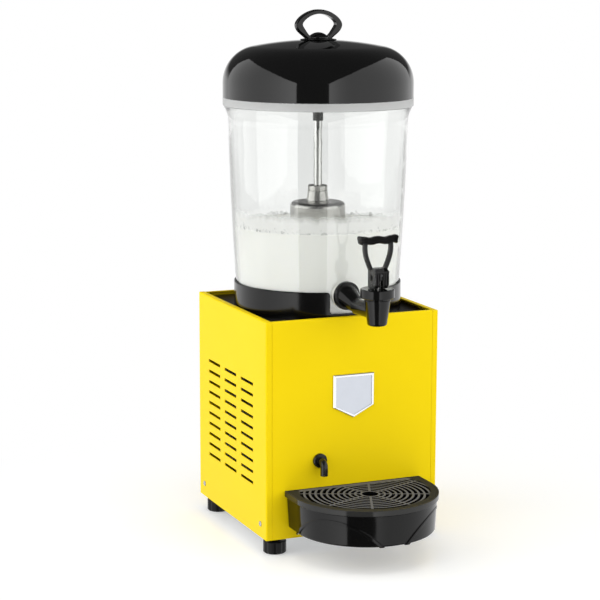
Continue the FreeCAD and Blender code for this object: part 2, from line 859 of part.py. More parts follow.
def filter_drier():
    """Copper drier in line with the condenser's outlet, held by a clip on the base pan."""
    z = condenser_rows()[0]
    start = condenser_x() + condenser_depth + 14.0
    r, n = drier_radius, line_radius + 1.0
    profile = [(0, 0), (n, 0), (n, 8), (r, 17), (r, drier_length - 17), (n, drier_length - 8),
               (n, drier_length), (0, drier_length)]
    body = revolved(profile, V(start, drier_y(), z), V(1, 0, 0))
    clip_x = start + drier_length / 2
    clip = box(V(clip_x - 6, drier_y() - 5, pan_top), V(clip_x + 6, drier_y() + 5, z))
    inlet = V(condenser_x() + condenser_depth / 2, drier_y(), z)
    pipe = tube(bent_path([inlet + V(0, 8, 0), inlet, V(start + 1, drier_y(), z)], 6.0), line_radius)
    return joined([body, clip, pipe])


def capillary_tube():
    """Thin line from the drier's end up to the coil's inner tail."""
    z = condenser_rows()[0]
    start = V(condenser_x() + condenser_depth + 14.0 + drier_length, drier_y(), z)
    tail = coil_ends()[0]
    end = V(tail.x, tail.y, well_floor - 12)
    corner = V(tail.x, drier_y(), z)
    above = V(0, 0, end.z - 26 - z)
    return tube(bent_path([start, corner, corner + above, V(end.x, end.y, end.z - 26), end], 9.0),
                capillary_radius)


def discharge_line():
    """Hot gas line from the compressor to the top of the condenser."""
    start = discharge_start()
    rows = condenser_rows()
    x = condenser_x() + condenser_depth / 2
    last = V(x, front_y + condenser_from_front + condenser_length + 4, rows[-1])
    step = 2 * line_bend + 1
    over = rows[-1] + step
    points = [start, V(start.x - 22, start.y, start.z), V(start.x - 22, start.y, over),
              V(start.x - 22, last.y + step, over), V(x, last.y + step, over),
              V(x, last.y + step, rows[-1]), last]
    return tube(bent_path(points, line_bend), line_radius)


# Controls and inlet on the back panel

def switch_housings():
    """Snap-in housings of the two rockers."""
    def block(x, grow, near, far):
        half, rise = switch_half_width + grow, switch_half_height + grow
        return box(V(x - half, near, switch_z - rise), V(x + half, far, switch_z + rise))
    housings = []
    for x in switch_places:
        bezel = block(x, switch_bezel, back_y, back_y + 1.2)
        can = block(x, 0, back_y - switch_depth, back_y)
        room = block(x, -switch_wall, back_y - 11, back_y + 2)
        housings.append(joined([bezel, can]).cut([room, rocker_pivot(x, running)]))
    return Part.makeCompound(housings)


def rocker_pivot(x, grow):
    reach = V(switch_half_width - slip + 2 * grow, 0, 0)
    middle = V(x, back_y - rocker_pivot_depth, switch_z)
    return rod(middle - reach, middle + reach, rocker_pivot_radius + grow)


def rocker(x):
    """Rocker with a dished face and two round pivots, lying on its lower end in the off place."""
    half = switch_half_height - switch_wall - 0.7
    wide = switch_half_width - switch_wall - slip
    outline = [(3.1, -half), (2.1, 0), (3.1, half), (-1.0, half), ((-5.5, 0), (-1.0, -half))]
    solid = seen_from_side(outline, -wide, 2 * wide)
    solid.rotate(V(0, 0, 0), V(1, 0, 0), rocker_lean)
    solid.translate(V(x, back_y - rocker_pivot_depth, switch_z))
    return joined([solid, rocker_pivot(x, 0)])


def thermostat():
    """Thermostat body behind the panel, with a threaded bush through it."""
    w, h = thermostat_half_width, thermostat_half_height
    face = inner_back - 3
    body = box(V(spindle_x - w, face - thermostat_depth, switch_z - h), V(spindle_x + w, face, switch_z + h))
    centre = V(spindle_x, face, switch_z)
    bush = rod(centre, V(spindle_x, back_y + 1.2, switch_z), bush_radius)
    seat = rod(centre, V(spindle_x, inner_back, switch_z), bush_radius + 4)
    bore = rod(centre - V(0, 11, 0), centre + V(0, 8, 0), spindle_radius + running)
    return joined([body, bush, seat]).cut(bore)


def thermostat_spindle():
    """Slotted spindle that is turned with a screwdriver."""
    low = V(spindle_x, inner_back - 13, switch_z)
    pin = rod(low, V(spindle_x, back_y + rear_reach, switch_z), spindle_radius)
    end = [edge for edge in pin.Edges if abs(edge.CenterOfMass.y - back_y - rear_reach) < 0.001]
    pin = pin.makeChamfer(0.5, end)
    slot_floor = back_y + rear_reach - 1.6
    slot = box(V(spindle_x - 0.6, slot_floor, switch_z - 6), V(spindle_x + 0.6, slot_floor + 5, switch_z + 6))
    return pin.cut(slot)


def inlet_outline(grow):
    """Six-sided outline of the appliance inlet, with its two upper corners cut off."""
    w = inlet_half_width + grow
    h = inlet_half_height + grow
    cut = 5.0
    x, z = inlet_x, inlet_z
    return [(x - w, z - h), (x - w, z + h - cut), (x - w + cut, z + h), (x + w - cut, z + h),
            (x + w, z + h - cut), (x + w, z - h)]


def power_inlet():
    """Appliance inlet with its flange outside, an open socket and three blades."""
    w, h = inlet_flange_half_width, inlet_flange_half_height
    flange = box(V(inlet_x - w, back_y, inlet_z - h), V(inlet_x + w, back_y + rear_reach, inlet_z + h))
    corners = [edge for edge in flange.Edges if abs(edge.tangentAt(edge.FirstParameter).y) > 0.9]
    flange = flange.makeFillet(4, corners)
    shell = seen_from_front(inlet_outline(0), back_y - 22, 22)
    socket = seen_from_front(inlet_outline(-2.0), back_y - 18, 30)
    blades = []
    for dx, dz in ((-7, -2), (7, -2), (0, 2)):
        low = V(inlet_x + dx - 1, back_y - 19, inlet_z + dz - 2)
        blades.append(box(low, low + V(2, 16, 4)))
    return joined([joined([flange, shell]).cut(socket)] + blades)


# Drive, impeller and spray column

def pump_motor():
    """Motor under the well, with a square flange and a boss through the floor."""
    top = well_floor - well_wall
    low = top - pump_motor_height
    can = revolved([(0, low), (pump_motor_radius - 3, low), (pump_motor_radius, low + 3),
                    (pump_motor_radius, top - 3), (0, top - 3)])
    plate = box(V(-38, bowl_y - 38, top - 3), V(38, bowl_y + 38, top))
    boss = rod(axis + V(0, 0, top - 1), axis + V(0, 0, well_floor + 10), 12.0)
    bore = rod(axis + V(0, 0, low + 20), axis + V(0, 0, deck_top), motor_shaft_radius + running)
    return joined([can, plate.makeFillet(8, upright_edges(plate)), boss]).cut(bore)


def drive_magnet():
    """Shaft and ring magnet that turns under the cold plate."""
    high = plate_top - plate_thickness - 1.5
    low = well_floor - well_wall - pump_motor_height + 21
    disc = revolved([(0, high - magnet_height), (magnet_radius - 1, high - magnet_height),
                     (magnet_radius, high - magnet_height + 1), (magnet_radius, high - 1),
                     (magnet_radius - 1, high), (0, high)])
    return joined([disc, rod(axis + V(0, 0, low), axis + V(0, 0, high - 1), motor_shaft_radius)])


def impeller():
    """Magnetic rotor with curved vanes on a hub that turns on the plate's pin."""
    low = plate_top + 3.3
    disc_height = impeller_height * 0.45
    disc = rod(axis + V(0, 0, low), axis + V(0, 0, low + disc_height), impeller_radius)
    hub = rod(axis + V(0, 0, low), axis + V(0, 0, low + impeller_height), spigot_radius + 4)
    vanes = []
    for vane in range(6):
        outer = rod(V(11, 0, 0), V(11, 0, impeller_height - disc_height), 12.0)
        inner = rod(V(11, 0, -1), V(11, 0, impeller_height), 10.4)
        keep = box(V(4, 0, -1), V(30, 20, impeller_height))
        blade = outer.cut(inner).common(keep)
        blade.rotate(V(0, 0, 0), V(0, 0, 1), vane * 60)
        blade.translate(axis + V(0, 0, low + disc_height))
        vanes.append(blade)
    body = joined([disc, hub] + vanes)
    return body.cut(rod(axis, axis + V(0, 0, low + 40), spigot_radius + running))


def pump_housing():
    """Cup over the impeller, open below, with inlet windows in its wall."""
    low = plate_top
    high = low + housing_height
    r = housing_radius
    w = housing_wall
    cup = revolved([(r, low), (r, high - 2), (r - 2, high), (tube_radius, high), (tube_radius, high - w),
                    (r - w, high - w), (r - w, low)])
    windows = []
    for window in range(6):
        slot = box(V(r - 6, -5, low - 1), V(r + 2, 5, low + 6))
        slot.rotate(V(0, 0, 0), V(0, 0, 1), window * 60)
        slot.translate(axis)
        windows.append(slot)
    return cup.cut(windows)


def pump_bell():
    """Stainless bell over the pump, with a rolled shoulder and notches at its foot."""
    low, high = plate_top, bell_top
    r, w, s = bell_radius, bell_wall, bell_shoulder
    k = math.sin(math.radians(45))
    bell = revolved([(r, low), (r, high - s), ((r - s + s * k, high - s + s * k), (r - s, high)),
                     (neck_radius - 2, high), (neck_radius - 2, high - w), (r - s, high - w),
                     ((r - s + (s - w) * k, high - s + (s - w) * k), (r - w, high - s)), (r - w, low)])
    notches = []
    for notch in range(8):
        slot = box(V(r - 4, -5, low - 1), V(r + 2, 5, low + 7))
        slot.rotate(V(0, 0, 0), V(0, 0, 1), 22.5 + notch * 45)
        slot.translate(axis)
        notches.append(slot)
    return bell.cut(notches)


def neck_collar():
    """Turned collar that clamps the tube on top of the bell."""
    low, high = bell_top, bell_top + neck_height
    band = high - neck_band
    foot, top = neck_foot_radius, neck_radius
    return revolved([(tube_radius, low), (foot, low), (foot, low + 1.2), (foot - 0.6, low + 2.2),
                     (top + 0.2, band - 0.8), (top - 0.4, band - 0.4), (top - 0.4, band), (top, band + 0.4),
                     (top, high - 0.8), (top - 0.8, high), (tube_radius, high)])


def spray_tube():
    low = plate_top + housing_height - housing_wall
    high = bell_top + neck_height + tube_above_neck + 20.0
    return revolved([(tube_bore, low), (tube_radius, low), (tube_radius, high), (tube_bore, high)])


def spray_nozzle():
    """Black fitting on the tube's end: two stacked sleeves and a deflector head under the lid."""
    low = bell_top + neck_height + tube_above_neck - 10.0
    high = low + nozzle_length
    r, head = nozzle_radius, nozzle_head_radius
    groove = low + 10.0
    body = revolved([(tube_radius, low), (r, low), (r, groove), (r - 0.9, groove), (r - 0.9, groove + 1.4),
                     (r, groove + 1.4), (r, high - 8), (head, high - 3), (head, high), (0, high + 2.5),
                     (0, low + 31), (tube_radius, low + 30.5)])
    heart = axis + V(0, 0, high - 12)
    ports = [rod(heart, heart + V(12 * x, 12 * y, 7), 1.4) for x, y in ((1, 0), (0, 1), (-1, 0), (0, -1))]
    return body.cut(ports)


# Bowl, drink, collar and lid

def bowl_points(inset):
    """Low, waist and shoulder points of the bowl's flank, on its outer or inner side."""
    waist = bowl_base + bowl_height * 0.44
    shoulder = bowl_top - bowl_shoulder_drop
    return ((bowl_base_radius - inset, bowl_base), (bowl_waist_radius - inset, waist),
            (bowl_shoulder_radius - inset, shoulder))


def bowl_radius(height, inset=0.0):
    low, waist, shoulder = bowl_points(inset)
    return arc_radius_at(low, waist, shoulder, height)


def bowl_envelope():
    """Everything inside the bowl's outer skin."""
    low, waist, shoulder = bowl_points(0)
    band = bowl_top - bowl_rim_band
    return revolved([(0, low[1]), low, (waist, shoulder),
                     ((bowl_shoulder_radius + 2.3, band - 9), (bowl_rim_radius, band)),
                     (bowl_rim_radius, bowl_top), (0, bowl_top)])


def bowl_cavity(base, top):
    """Room inside the wall from base to top."""
    low, waist, shoulder = bowl_points(bowl_wall)
    band = bowl_top - bowl_rim_band
    rim = bowl_rim_radius - bowl_wall
    room = revolved([(0, low[1]), low, (waist, shoulder), ((shoulder[0] + 2.1, band - 8), (rim, band + 1)),
                     (rim, bowl_top + 1), (0, bowl_top + 1)])
    return room.common(rod(axis + V(0, 0, base), axis + V(0, 0, top), bowl_rim_radius + 5))


def bowl():
    floor = bowl_base + bowl_wall
    shell = bowl_envelope().cut([bowl_cavity(floor, bowl_top + 2),
                                 rod(axis + V(0, 0, bowl_base - 1), axis + V(0, 0, floor + 1),
                                     well_radius - slip - gasket_width)])
    return shell.cut(tap_line(-20, 10, shank_radius + slip))


def bowl_gasket():
    """Seal between the bowl's foot and the cold plate."""
    outer = well_radius - slip - 1
    inner = outer - gasket_width + 1
    top = plate_top + gasket_height
    return revolved([(inner, plate_top), (outer, plate_top), (outer, top - 1.2), (outer - 1.2, top),
                     (inner + 1.2, top), (inner, top - 1.2)])


def drink():
    """The drink that stands in the bowl, clear of the bell, the tap's nut and the wall."""
    low = plate_top + slip
    high = low + drink_depth
    floor = bowl_base + bowl_wall
    well = rod(axis + V(0, 0, low), axis + V(0, 0, floor + 1), well_radius - 2 * slip - gasket_width)
    room, waist, shoulder = bowl_points(bowl_wall + slip)
    flank = revolved([(0, room[1]), room, (waist, shoulder), (0, shoulder[1])])
    flank = flank.common(rod(axis + V(0, 0, floor + slip), axis + V(0, 0, high), bowl_rim_radius))
    hole = rod(axis, axis + V(0, 0, high + 5), bell_radius + slip)
    nut = tap_line(-20 - slip, 0, tap_nut_radius + slip)
    return joined([well, flank]).cut([hole, nut])


def bowl_collar():
    """Black ring that the bowl's foot drops into, notched for the tap."""
    top = deck_top + collar_height
    inner_top = bowl_radius(top) + slip + 0.2
    inner_low = bowl_radius(bowl_base + 2) + slip + 0.4
    outer = inner_top + collar_wall
    ring = revolved([(inner_low, deck_top), (outer, deck_top), (outer, top - 1), (outer - 1, top),
                     (inner_top, top)])
    floor = deck_top + notch_above_deck
    half = notch_half_width
    r = notch_corner
    k = r * (1 - math.sin(math.radians(45)))
    notch = seen_from_front([(-half, floor + r), ((-half + k, floor + k), (-half + r, floor)),
                             (half - r, floor), ((half - k, floor + k), (half, floor + r)),
                             (half, top - r), ((half + k, top - k), (half + r, top)), (half + r, top + 1),
                             (-half - r, top + 1), (-half - r, top), ((-half - k, top - k), (-half, top - r))],
                            bowl_y - outer - 5, outer)
    return ring.cut(notch)


def lid():
    """Domed lid: upright skirt, round shoulder, shallow crown and an inner lip."""
    def outer_skin(inset, base):
        a = math.radians(lid_crown_angle)
        r = lid_shoulder - inset
        cx = bowl_rim_radius - lid_shoulder
        cz = bowl_top + lid_skirt
        top = lid_crown - inset
        crown = lid_crown_radius - inset
        m = math.radians(45 + lid_crown_angle / 2)
        end = (cx + r * math.sin(a), cz + r * math.cos(a))
        middle = (cx + r * math.sin(m), cz + r * math.cos(m))
        h = a / 2
        over = (crown * math.sin(h), top - crown * (1 - math.cos(h)))
        return revolved([(0, base), (cx + r, base), (cx + r, cz), (middle, end), (over, (0, top))])
    shell = outer_skin(0, bowl_top).cut(outer_skin(lid_wall, bowl_top - 1))
    outer = bowl_rim_radius - bowl_wall - 0.4
    seat = bowl_rim_radius - 1
    low = bowl_top - lid_lip_depth
    lip = revolved([(outer - 2.2, low), (outer - 0.8, low), (outer, low + 1.5), (outer, bowl_top),
                    (seat, bowl_top), (seat, bowl_top + 2), (outer - 2.2, bowl_top + 2)])
    return joined([shell, lip])


def smooth_loop(half, near, depth):
    """Closed smooth outline in X and Z from the points of its right half, taken backwards from near."""
    points = half + [(-x, z) for x, z in reversed(half) if x > 0]
    curve = Part.BSplineCurve()
    curve.interpolate([V(x, near, z) for x, z in points], PeriodicFlag=True)
    return Part.Face(Part.Wire(curve.toShape())).extrude(V(0, depth, 0))


def lid_handle():
    """Leaf-shaped loop, broad at its sides, on a thin round plate that lies on the crown."""
    low = lid_crown - handle_sink
    top = lid_crown + handle_height
    w, v = handle_half_width, handle_half_width - handle_band
    near = bowl_y - handle_thickness / 2
    under_bar = top - handle_top_band
    outer = [(0, top), (w * 0.36, top - 1.9), (w * 0.68, top - 6.8), (w * 0.9, top - 13.0), (w, top - 20.0),
             (w * 0.93, top - 26.8), (w * 0.68, low + 5.5), (w * 0.5, low + 1.2), (0, low + 0.6)]
    inner = [(0, under_bar), (v * 0.45, under_bar - 2.0), (v * 0.8, top - 12.6), (v, top - 19.6),
             (v * 0.88, top - 25.3), (v * 0.66, low + 7.5), (v * 0.4, low + 3.2), (0, low + 2.2)]
    loop = smooth_loop(outer, near, handle_thickness)
    rims = [edge for edge in loop.Edges if edge.BoundBox.YLength < 0.001]
    loop = loop.makeFillet(handle_edge, rims).cut(smooth_loop(inner, near - 1, handle_thickness + 2))
    under = box(V(-w, near - 1, low - 10), V(w, near + handle_thickness + 1, low + 1))
    r = handle_base_radius
    plate = revolved([(0, low), (r - 1.2, low), (r, low + 0.8), (r - 1.2, low + 1.5),
                      (cap_radius + 1, low + handle_plate), (0, low + handle_plate)])
    seat = axis + V(0, 0, low + handle_plate)
    cap_room = rod(seat, seat + V(0, 0, cap_height + slip), cap_radius + slip)
    crown = Part.makeSphere(lid_crown_radius, V(0, bowl_y, lid_crown - lid_crown_radius))
    return loop.cut([cap_room, under]).fuse(plate.cut(crown))


def handle_cap():
    """Domed cap over the handle's screw."""
    low = lid_crown - handle_sink + handle_plate
    r, h = cap_radius, cap_height
    return revolved([(0, low), (r, low), (r, low + 0.8), dome(r, low + 0.8, low + h)])


# Tap

def tap_origin():
    """Where the tap's axis leaves the bowl's outer skin, a little left of the front."""
    z = deck_top + tap_above_deck
    turn = math.radians(tap_turn)
    radius = bowl_radius(z)
    return V(-radius * math.sin(turn), bowl_y - radius * math.cos(turn), z)


def tap_direction():
    """Level way from the bowl's skin towards the barrel."""
    origin = tap_origin()
    return V(-origin.x, tap_y - origin.y, 0).normalize()


def tap_line(start, end, radius):
    """Round bar along the tap's axis; distances are measured outwards from the bowl's skin."""
    way = tap_direction()
    return rod(tap_origin() + way * start, tap_origin() + way * end, radius)


def barrel_low():
    return bonnet_top - bonnet_height - bonnet_groove - barrel_height


def ring_at(place, radius):
    return Part.Wire(Part.Circle(place, tap_direction(), radius).toShape())


def tap_body():
    """Flanged shank, a cone that drops to a level pipe, and the upright barrel."""
    out = washer_thickness
    fr, ft = flange_radius, flange_thickness
    origin, way, drop = tap_origin(), tap_direction(), V(0, 0, shank_drop)
    shank = revolved([(0, -15), (shank_radius, -15), (shank_radius, out), (fr, out), (fr, out + ft - 2),
                      ((fr - 0.6, out + ft - 0.6), (fr - 2, out + ft)), (0, out + ft)], origin, way)
    near = origin + way * (out + ft - 0.5)
    far = origin + way * (out + ft + cone_length) - drop
    cone = Part.makeLoft([ring_at(near, cone_radius), ring_at(far, pipe_radius - pipe_step)], True, True)
    end = V(0, tap_y, far.z)
    pipe = rod(far - way * 2, end, pipe_radius)
    low = barrel_low()
    top = low + barrel_height
    place = V(0, tap_y, 0)
    foot, wide, neck = barrel_foot_radius, barrel_top_radius, bonnet_neck_radius
    barrel = revolved([(0, low), (foot - 2.5, low), ((foot - 0.8, low + 0.8), (foot, low + 2.5)),
                       (wide, top - 1.5), (wide, top), (neck, top), (neck, bonnet_top - 4.5),
                       (0, bonnet_top - 4.5)], place)
    chamber = revolved([(0, low - 1), (outlet_radius, low - 1), (outlet_radius, low + 7),
                        (chamber_radius, low + 9.5), (chamber_radius, bonnet_top), (0, bonnet_top)], place)
    bore = tube(bent_path([origin - way * 20, origin + way * (out + ft + 4), far + way * 4, end - way * 2], 12.0),
                shank_bore)
    return joined([shank, cone, pipe, barrel]).cut([chamber, bore])


def tap_washers():
    """Soft washers on both sides of the bowl's wall; each follows the wall's curve."""
    shank = tap_line(-20, 8, shank_radius)
    outer = tap_line(-6, washer_thickness, flange_radius - 1.5).cut([bowl_envelope(), shank])
    inner = tap_line(-bowl_wall - inner_washer_thickness, 3, tap_nut_radius - 1).cut(shank)
    inner = inner.common(bowl_cavity(bowl_base + bowl_wall, bowl_top))
    return Part.makeCompound([outer, inner])


def tap_nut():
    """Six-sided nut inside the bowl."""
    start = -bowl_wall - inner_washer_thickness
    corners = []
    for corner in range(6):
        angle = math.radians(60 * corner)
        corners.append((tap_nut_radius * math.cos(angle), tap_nut_radius * math.sin(angle)))
    nut = plan(corners, 0, tap_nut_thickness)
    nut.Placement = FreeCAD.Placement(tap_origin() + tap_direction() * (start - tap_nut_thickness),
                                      FreeCAD.Rotation(V(0, 0, 1), tap_direction()))
    return nut.cut(tap_line(-30, 8, shank_radius))


def tap_bonnet():
    """Screwed ring that closes the barrel and guides the stem."""
    low = bonnet_top - bonnet_height
    r = bonnet_radius
    inner = bonnet_neck_radius + slip / 2
    guide = stem_radius + running
    return revolved([(inner, low), (r - 0.8, low), (r, low + 0.8), (r, bonnet_top - 1.6),
                     ((r - 0.5, bonnet_top - 0.5), (r - 1.6, bonnet_top)), (guide, bonnet_top),
                     (guide, bonnet_top - 3.5), (inner, bonnet_top - 3.5)], V(0, tap_y, 0))


def seat_z():
    return barrel_low() + 9.5


def tap_stem():
    """Valve stem with a flat eye for the lever's pin."""
    place = V(0, tap_y, 0)
    stem = rod(place + V(0, 0, seat_z() + 3), place + V(0, 0, pin_z), stem_radius)
    eye = rod(V(-fork_half_gap + slip, tap_y, pin_z), V(fork_half_gap - slip, tap_y, pin_z), 5.0)
    hole = rod(V(-10, tap_y, pin_z), V(10, tap_y, pin_z), pin_radius + running)
    return joined([stem, eye]).cut(hole)


def tap_seat_cup():
    """Silicone cup that closes the outlet, pressed on the stem's foot."""
    low = seat_z() - 0.9
    r = chamber_radius - 2.5
    foot = low + 3.9
    return revolved([(0, foot), (0, low + 2), (outlet_radius, low), (r, low + 2.6), (r, low + 6),
                     (stem_radius + 2.5, low + 6), (stem_radius + 2, low + 9), (stem_radius, low + 9),
                     (stem_radius, foot)], V(0, tap_y, 0))


def tap_spring():
    """Closing spring between the cup and the bonnet."""
    low = seat_z() + 5.2
    high = bonnet_top - 3.5 - 0.4
    wire, radius = spring_wire, spring_radius
    rise = high - low - 2 * wire
    helix = Part.makeHelix(rise / spring_turns, rise, radius)
    ring = Part.Wire(Part.Circle(V(radius, 0, 0), V(0, 1, 0), wire).toShape())
    coil = Part.Wire(helix).makePipeShell([ring], True, True)
    coil.translate(V(0, tap_y, low + wire))
    return coil


def tap_lever():
    """Loop handle on an eccentric cam: a wavy bar, two curved arms and a forked hub."""
    base = bonnet_top + slip
    top = bonnet_top + lever_height
    bar = top - lever_bar_height
    hub_top = base + 26.0
    w, a, b = lever_half_width, lever_arm_half, lever_bar_half
    v = a - lever_arm_width
    front = [(-w, base), (-w, hub_top - 3), ((-w - 6.6, hub_top + 12), (-a, bar - 9)), (-a, bar + 1),
             (-b + 5, bar + 1), ((-b, bar + 3.5), (-b, bar + 7)),
             ((-b + 1.2, top - 0.8), (-b + 5, top - 1.2)),
             ((-b * 0.45, top - 2.6), (-8, top - 0.6)), ((0, top), (8, top - 0.6)),
             ((b * 0.45, top - 2.6), (b - 5, top - 1.2)), ((b - 1.2, top - 0.8), (b, bar + 7)),
             ((b, bar + 3.5), (b - 5, bar + 1)), (a, bar + 1), (a, bar - 9),
             ((w + 6.6, hub_top + 12), (w, hub_top - 3)), (w, base)]
    window = [(-8.5, hub_top + 4), ((-v + 1.2, hub_top + 13), (-v, bar - 10)), (-v, bar - 1.5),
              (-v + 1.5, bar),
              (v - 1.5, bar), (v, bar - 1.5), (v, bar - 10), ((v - 1.2, hub_top + 13), (8.5, hub_top + 4))]
    y = tap_y
    cam = pin_above_bonnet - slip
    def on_cam(angle):
        turn = math.radians(angle)
        return (y - cam_offset - cam * math.sin(turn), pin_z - cam * math.cos(turn))
    side = [(y + 8.5, base), (y - cam_offset, base), (on_cam(25), on_cam(50)), (y - 17, pin_z + 1),
            ((y - 14.5, pin_z + 5.5), (y - 9, pin_z + 8.5)), (y - 6.2, hub_top + 5), (y - 5.2, bar - 2),
            (y - 6.2, bar + 2), (y - 6.2, top - 3), ((y - 5.2, top - 1), (y - 3.2, top)), (y + 3.2, top),
            ((y + 5.2, top - 1), (y + 6.2, top - 3)),
            (y + 6.2, bar + 2), (y + 5.2, bar - 2), (y + 6.2, hub_top + 5), (y + 8.5, hub_top - 2)]
    loop = seen_from_front(front, y - 30, 60).cut(seen_from_front(window, y - 31, 62))
    body = loop.common(seen_from_side(side, -40, 80))
    g = fork_half_gap
    fork = box(V(-g, y - 8.0, base - 1), V(g, y + 20, pin_z + 8))
    mouth = box(V(-g, y - 30, base - 1), V(g, y, pin_z - 2))
    hole = rod(V(-40, y, pin_z), V(40, y, pin_z), pin_radius)
    return body.cut([fork, mouth, hole])


def tap_pin():
    """Pivot pin with low heads on both cheeks of the fork."""
    w = lever_half_width
    profile = [(0, -w - 1.4), (2.6, -w - 1.4), (3.2, -w - 0.8), (3.2, -w), (pin_radius, -w), (pin_radius, w),
               (3.2, w), (3.2, w + 0.8), (2.6, w + 1.4), (0, w + 1.4)]
    return revolved(profile, V(0, tap_y, pin_z), V(1, 0, 0))


# Drip tray

def tray_outline(inset):
    """D-shaped outline: straight back, straight sides and a half round front."""
    r = tray_radius - inset
    back = front_y - tray_gap - inset
    return [(-r, back), (-r, tray_centre_y), ((0, tray_centre_y - r), (r, tray_centre_y)), (r, back)]


def tray_wire(inset, z):
    return face_of(tray_outline(inset), lambda x, y: V(x, y, z)).OuterWire


def drip_tray():
    """Moulded tray: stepped rim, tapered wall, ledge for the grille and arch ribs on its front."""
    low = tray_above_floor
    rim_low = tray_top - tray_rim
    step = tray_rim_step
    rim = plan(tray_outline(0), rim_low, tray_rim)
    lower_edge = [edge for edge in rim.Edges if abs(edge.BoundBox.ZMin - rim_low) < 0.001
                  and abs(edge.BoundBox.ZMax - rim_low) < 0.001]
    rim = rim.makeChamfer(0.8, lower_edge)
    wall = Part.makeLoft([tray_wire(step + tray_taper, low), tray_wire(step, rim_low + 1)], True, True)
    foot = [edge for edge in wall.Edges if abs(edge.BoundBox.ZMax - low) < 0.001]
    wall = wall.makeFillet(2.5, foot)
    body = joined([rim, wall])
    ledge = tray_top - grille_thickness - 0.2
    room = Part.makeLoft([tray_wire(step + tray_taper + tray_wall, low + tray_floor),
                          tray_wire(step + tray_wall, ledge + 1)], True, True)
    seat = plan(tray_outline(tray_wall - 0.4), ledge, tray_height)
    return joined([body] + arch_ribs(low, rim_low)).cut([room, seat])


def arch_ribs(low, high):
    """Two arched ribs that stand proud of the round front."""
    r = tray_radius - tray_rim_step - tray_taper / 2
    centre = V(0, tray_centre_y, 0)
    skin = rod(centre + V(0, 0, low), centre + V(0, 0, high), r + arch_proud)
    skin = skin.cut(rod(centre + V(0, 0, low - 1), centre + V(0, 0, high + 1), r - 1.5))
    ribs = []
    for side in (-1, 1):
        hub = V(0, 0, low + arch_height - arch_radius)
        ring = rod(hub, hub + V(0, -200, 0), arch_radius + arch_rib / 2)
        ring = ring.cut(rod(hub + V(0, 1, 0), hub - V(0, 201, 0), arch_radius - arch_rib / 2))
        ring.rotate(V(0, 0, 0), V(0, 0, 1), side * arch_turn)
        ring.translate(centre)
        ribs.append(skin.common(ring))
    return ribs


def drip_grille():
    """Flat grille of rings round the drain hole, carried by radial spokes and a plain border."""
    low = tray_top - grille_thickness - 0.2
    plate = plan(tray_outline(tray_wall - 0.4 + slip), low, grille_thickness)
    field = plan(tray_outline(grille_border), low - 1, grille_thickness + 2)
    centre = V(0, hole_y, low - 1)
    rise = V(0, 0, grille_thickness + 2)
    spokes = []
    for spoke in range(grille_spokes):
        bar = box(V(0, -grille_rib / 2, 0), V(3 * tray_radius, grille_rib / 2, grille_thickness + 2))
        bar.rotate(V(0, 0, 0), V(0, 0, 1), (spoke + 0.5) * 360.0 / grille_spokes)
        bar.translate(centre)
        spokes.append(bar)
    cuts = [rod(centre, centre + rise, grille_hole_radius)]
    slot = grille_pitch - grille_rib
    inner = grille_hole_radius + grille_rib
    while inner < 1.25 * tray_radius:
        heart = rod(centre - V(0, 0, 1), centre + rise * 2, inner)
        ring = rod(centre, centre + rise, inner + slot).cut(heart)
        cuts += [piece for piece in ring.common(field).cut(spokes).Solids if piece.Volume > 60]
        inner += grille_pitch
    return plate.cut(cuts)


def tongue(side, grow, near, far):
    x = side * tongue_spread
    half = tongue_width / 2 + grow
    top = tray_above_floor + grow
    return box(V(x - half, near, top - tongue_thickness - 2 * grow), V(x + half, far, top))


def tray_bracket():
    """Plate behind the cabinet floor's front rim, with two tongues that carry the tray."""
    near = inner_front + sheet
    far = near + tongue_thickness
    plate = box(V(-tongue_spread - 20, near, pan_top), V(tongue_spread + 20, far, foot_height + pan_rim + 12))
    return joined([plate] + [tongue(side, 0, front_y - tongue_length, far) for side in (-1, 1)])


pieces = {
    "base_pan": base_pan,
    "left_side_panel": lambda: side_panel(-1),
    "right_side_panel": lambda: side_panel(1),
    "front_panel": front_panel,
    "back_panel": back_panel,
    "top_deck": top_deck,
    "bowl_collar": bowl_collar,
    "badge_plate": badge_plate,
    "panel_screws": panel_screws,
    "drain_spout": drain_spout,
    "drain_hose": drain_hose,
    "compressor": compressor,
    "compressor_mounts": compressor_mounts,
    "terminal_cover": terminal_cover,
    "condenser": condenser,
    "fan_shroud": fan_shroud,
    "fan_motor": fan_motor,
    "fan_blades": fan_blades,
    "filter_drier": filter_drier,
    "discharge_line": discharge_line,
    "capillary_tube": capillary_tube,
    "evaporator_coil": evaporator_coil,
    "cold_plate": cold_plate,
    "insulation": insulation,
    "pump_motor": pump_motor,
    "drive_magnet": drive_magnet,
    "impeller": impeller,
    "pump_housing": pump_housing,
    "pump_bell": pump_bell,
    "neck_collar": neck_collar,
    "spray_tube": spray_tube,
    "spray_nozzle": spray_nozzle,
    "bowl": bowl,
    "bowl_gasket": bowl_gasket,
    "drink": drink,
    "tap_body": tap_body,
    "tap_nut": tap_nut,
    "tap_washers": tap_washers,
    "tap_bonnet": tap_bonnet,
    "tap_stem": tap_stem,
    "tap_seat_cup": tap_seat_cup,
    "tap_spring": tap_spring,
    "tap_lever": tap_lever,
    "tap_pin": tap_pin,
    "lid": lid,
    "lid_handle": lid_handle,
    "handle_cap": handle_cap,
    "drip_tray": drip_tray,
    "drip_grille": drip_grille,
    "tray_bracket": tray_bracket,
    "thermostat": thermostat,
    "thermostat_spindle": thermostat_spindle,
    "switch_housings": switch_housings,
    "cooling_rocker": lambda: rocker(switch_places[0]),
    "pump_rocker": lambda: rocker(switch_places[1]),
    "power_inlet": power_inlet,
}
foot_names = ("front_left_foot", "front_right_foot", "rear_left_foot", "rear_right_foot")
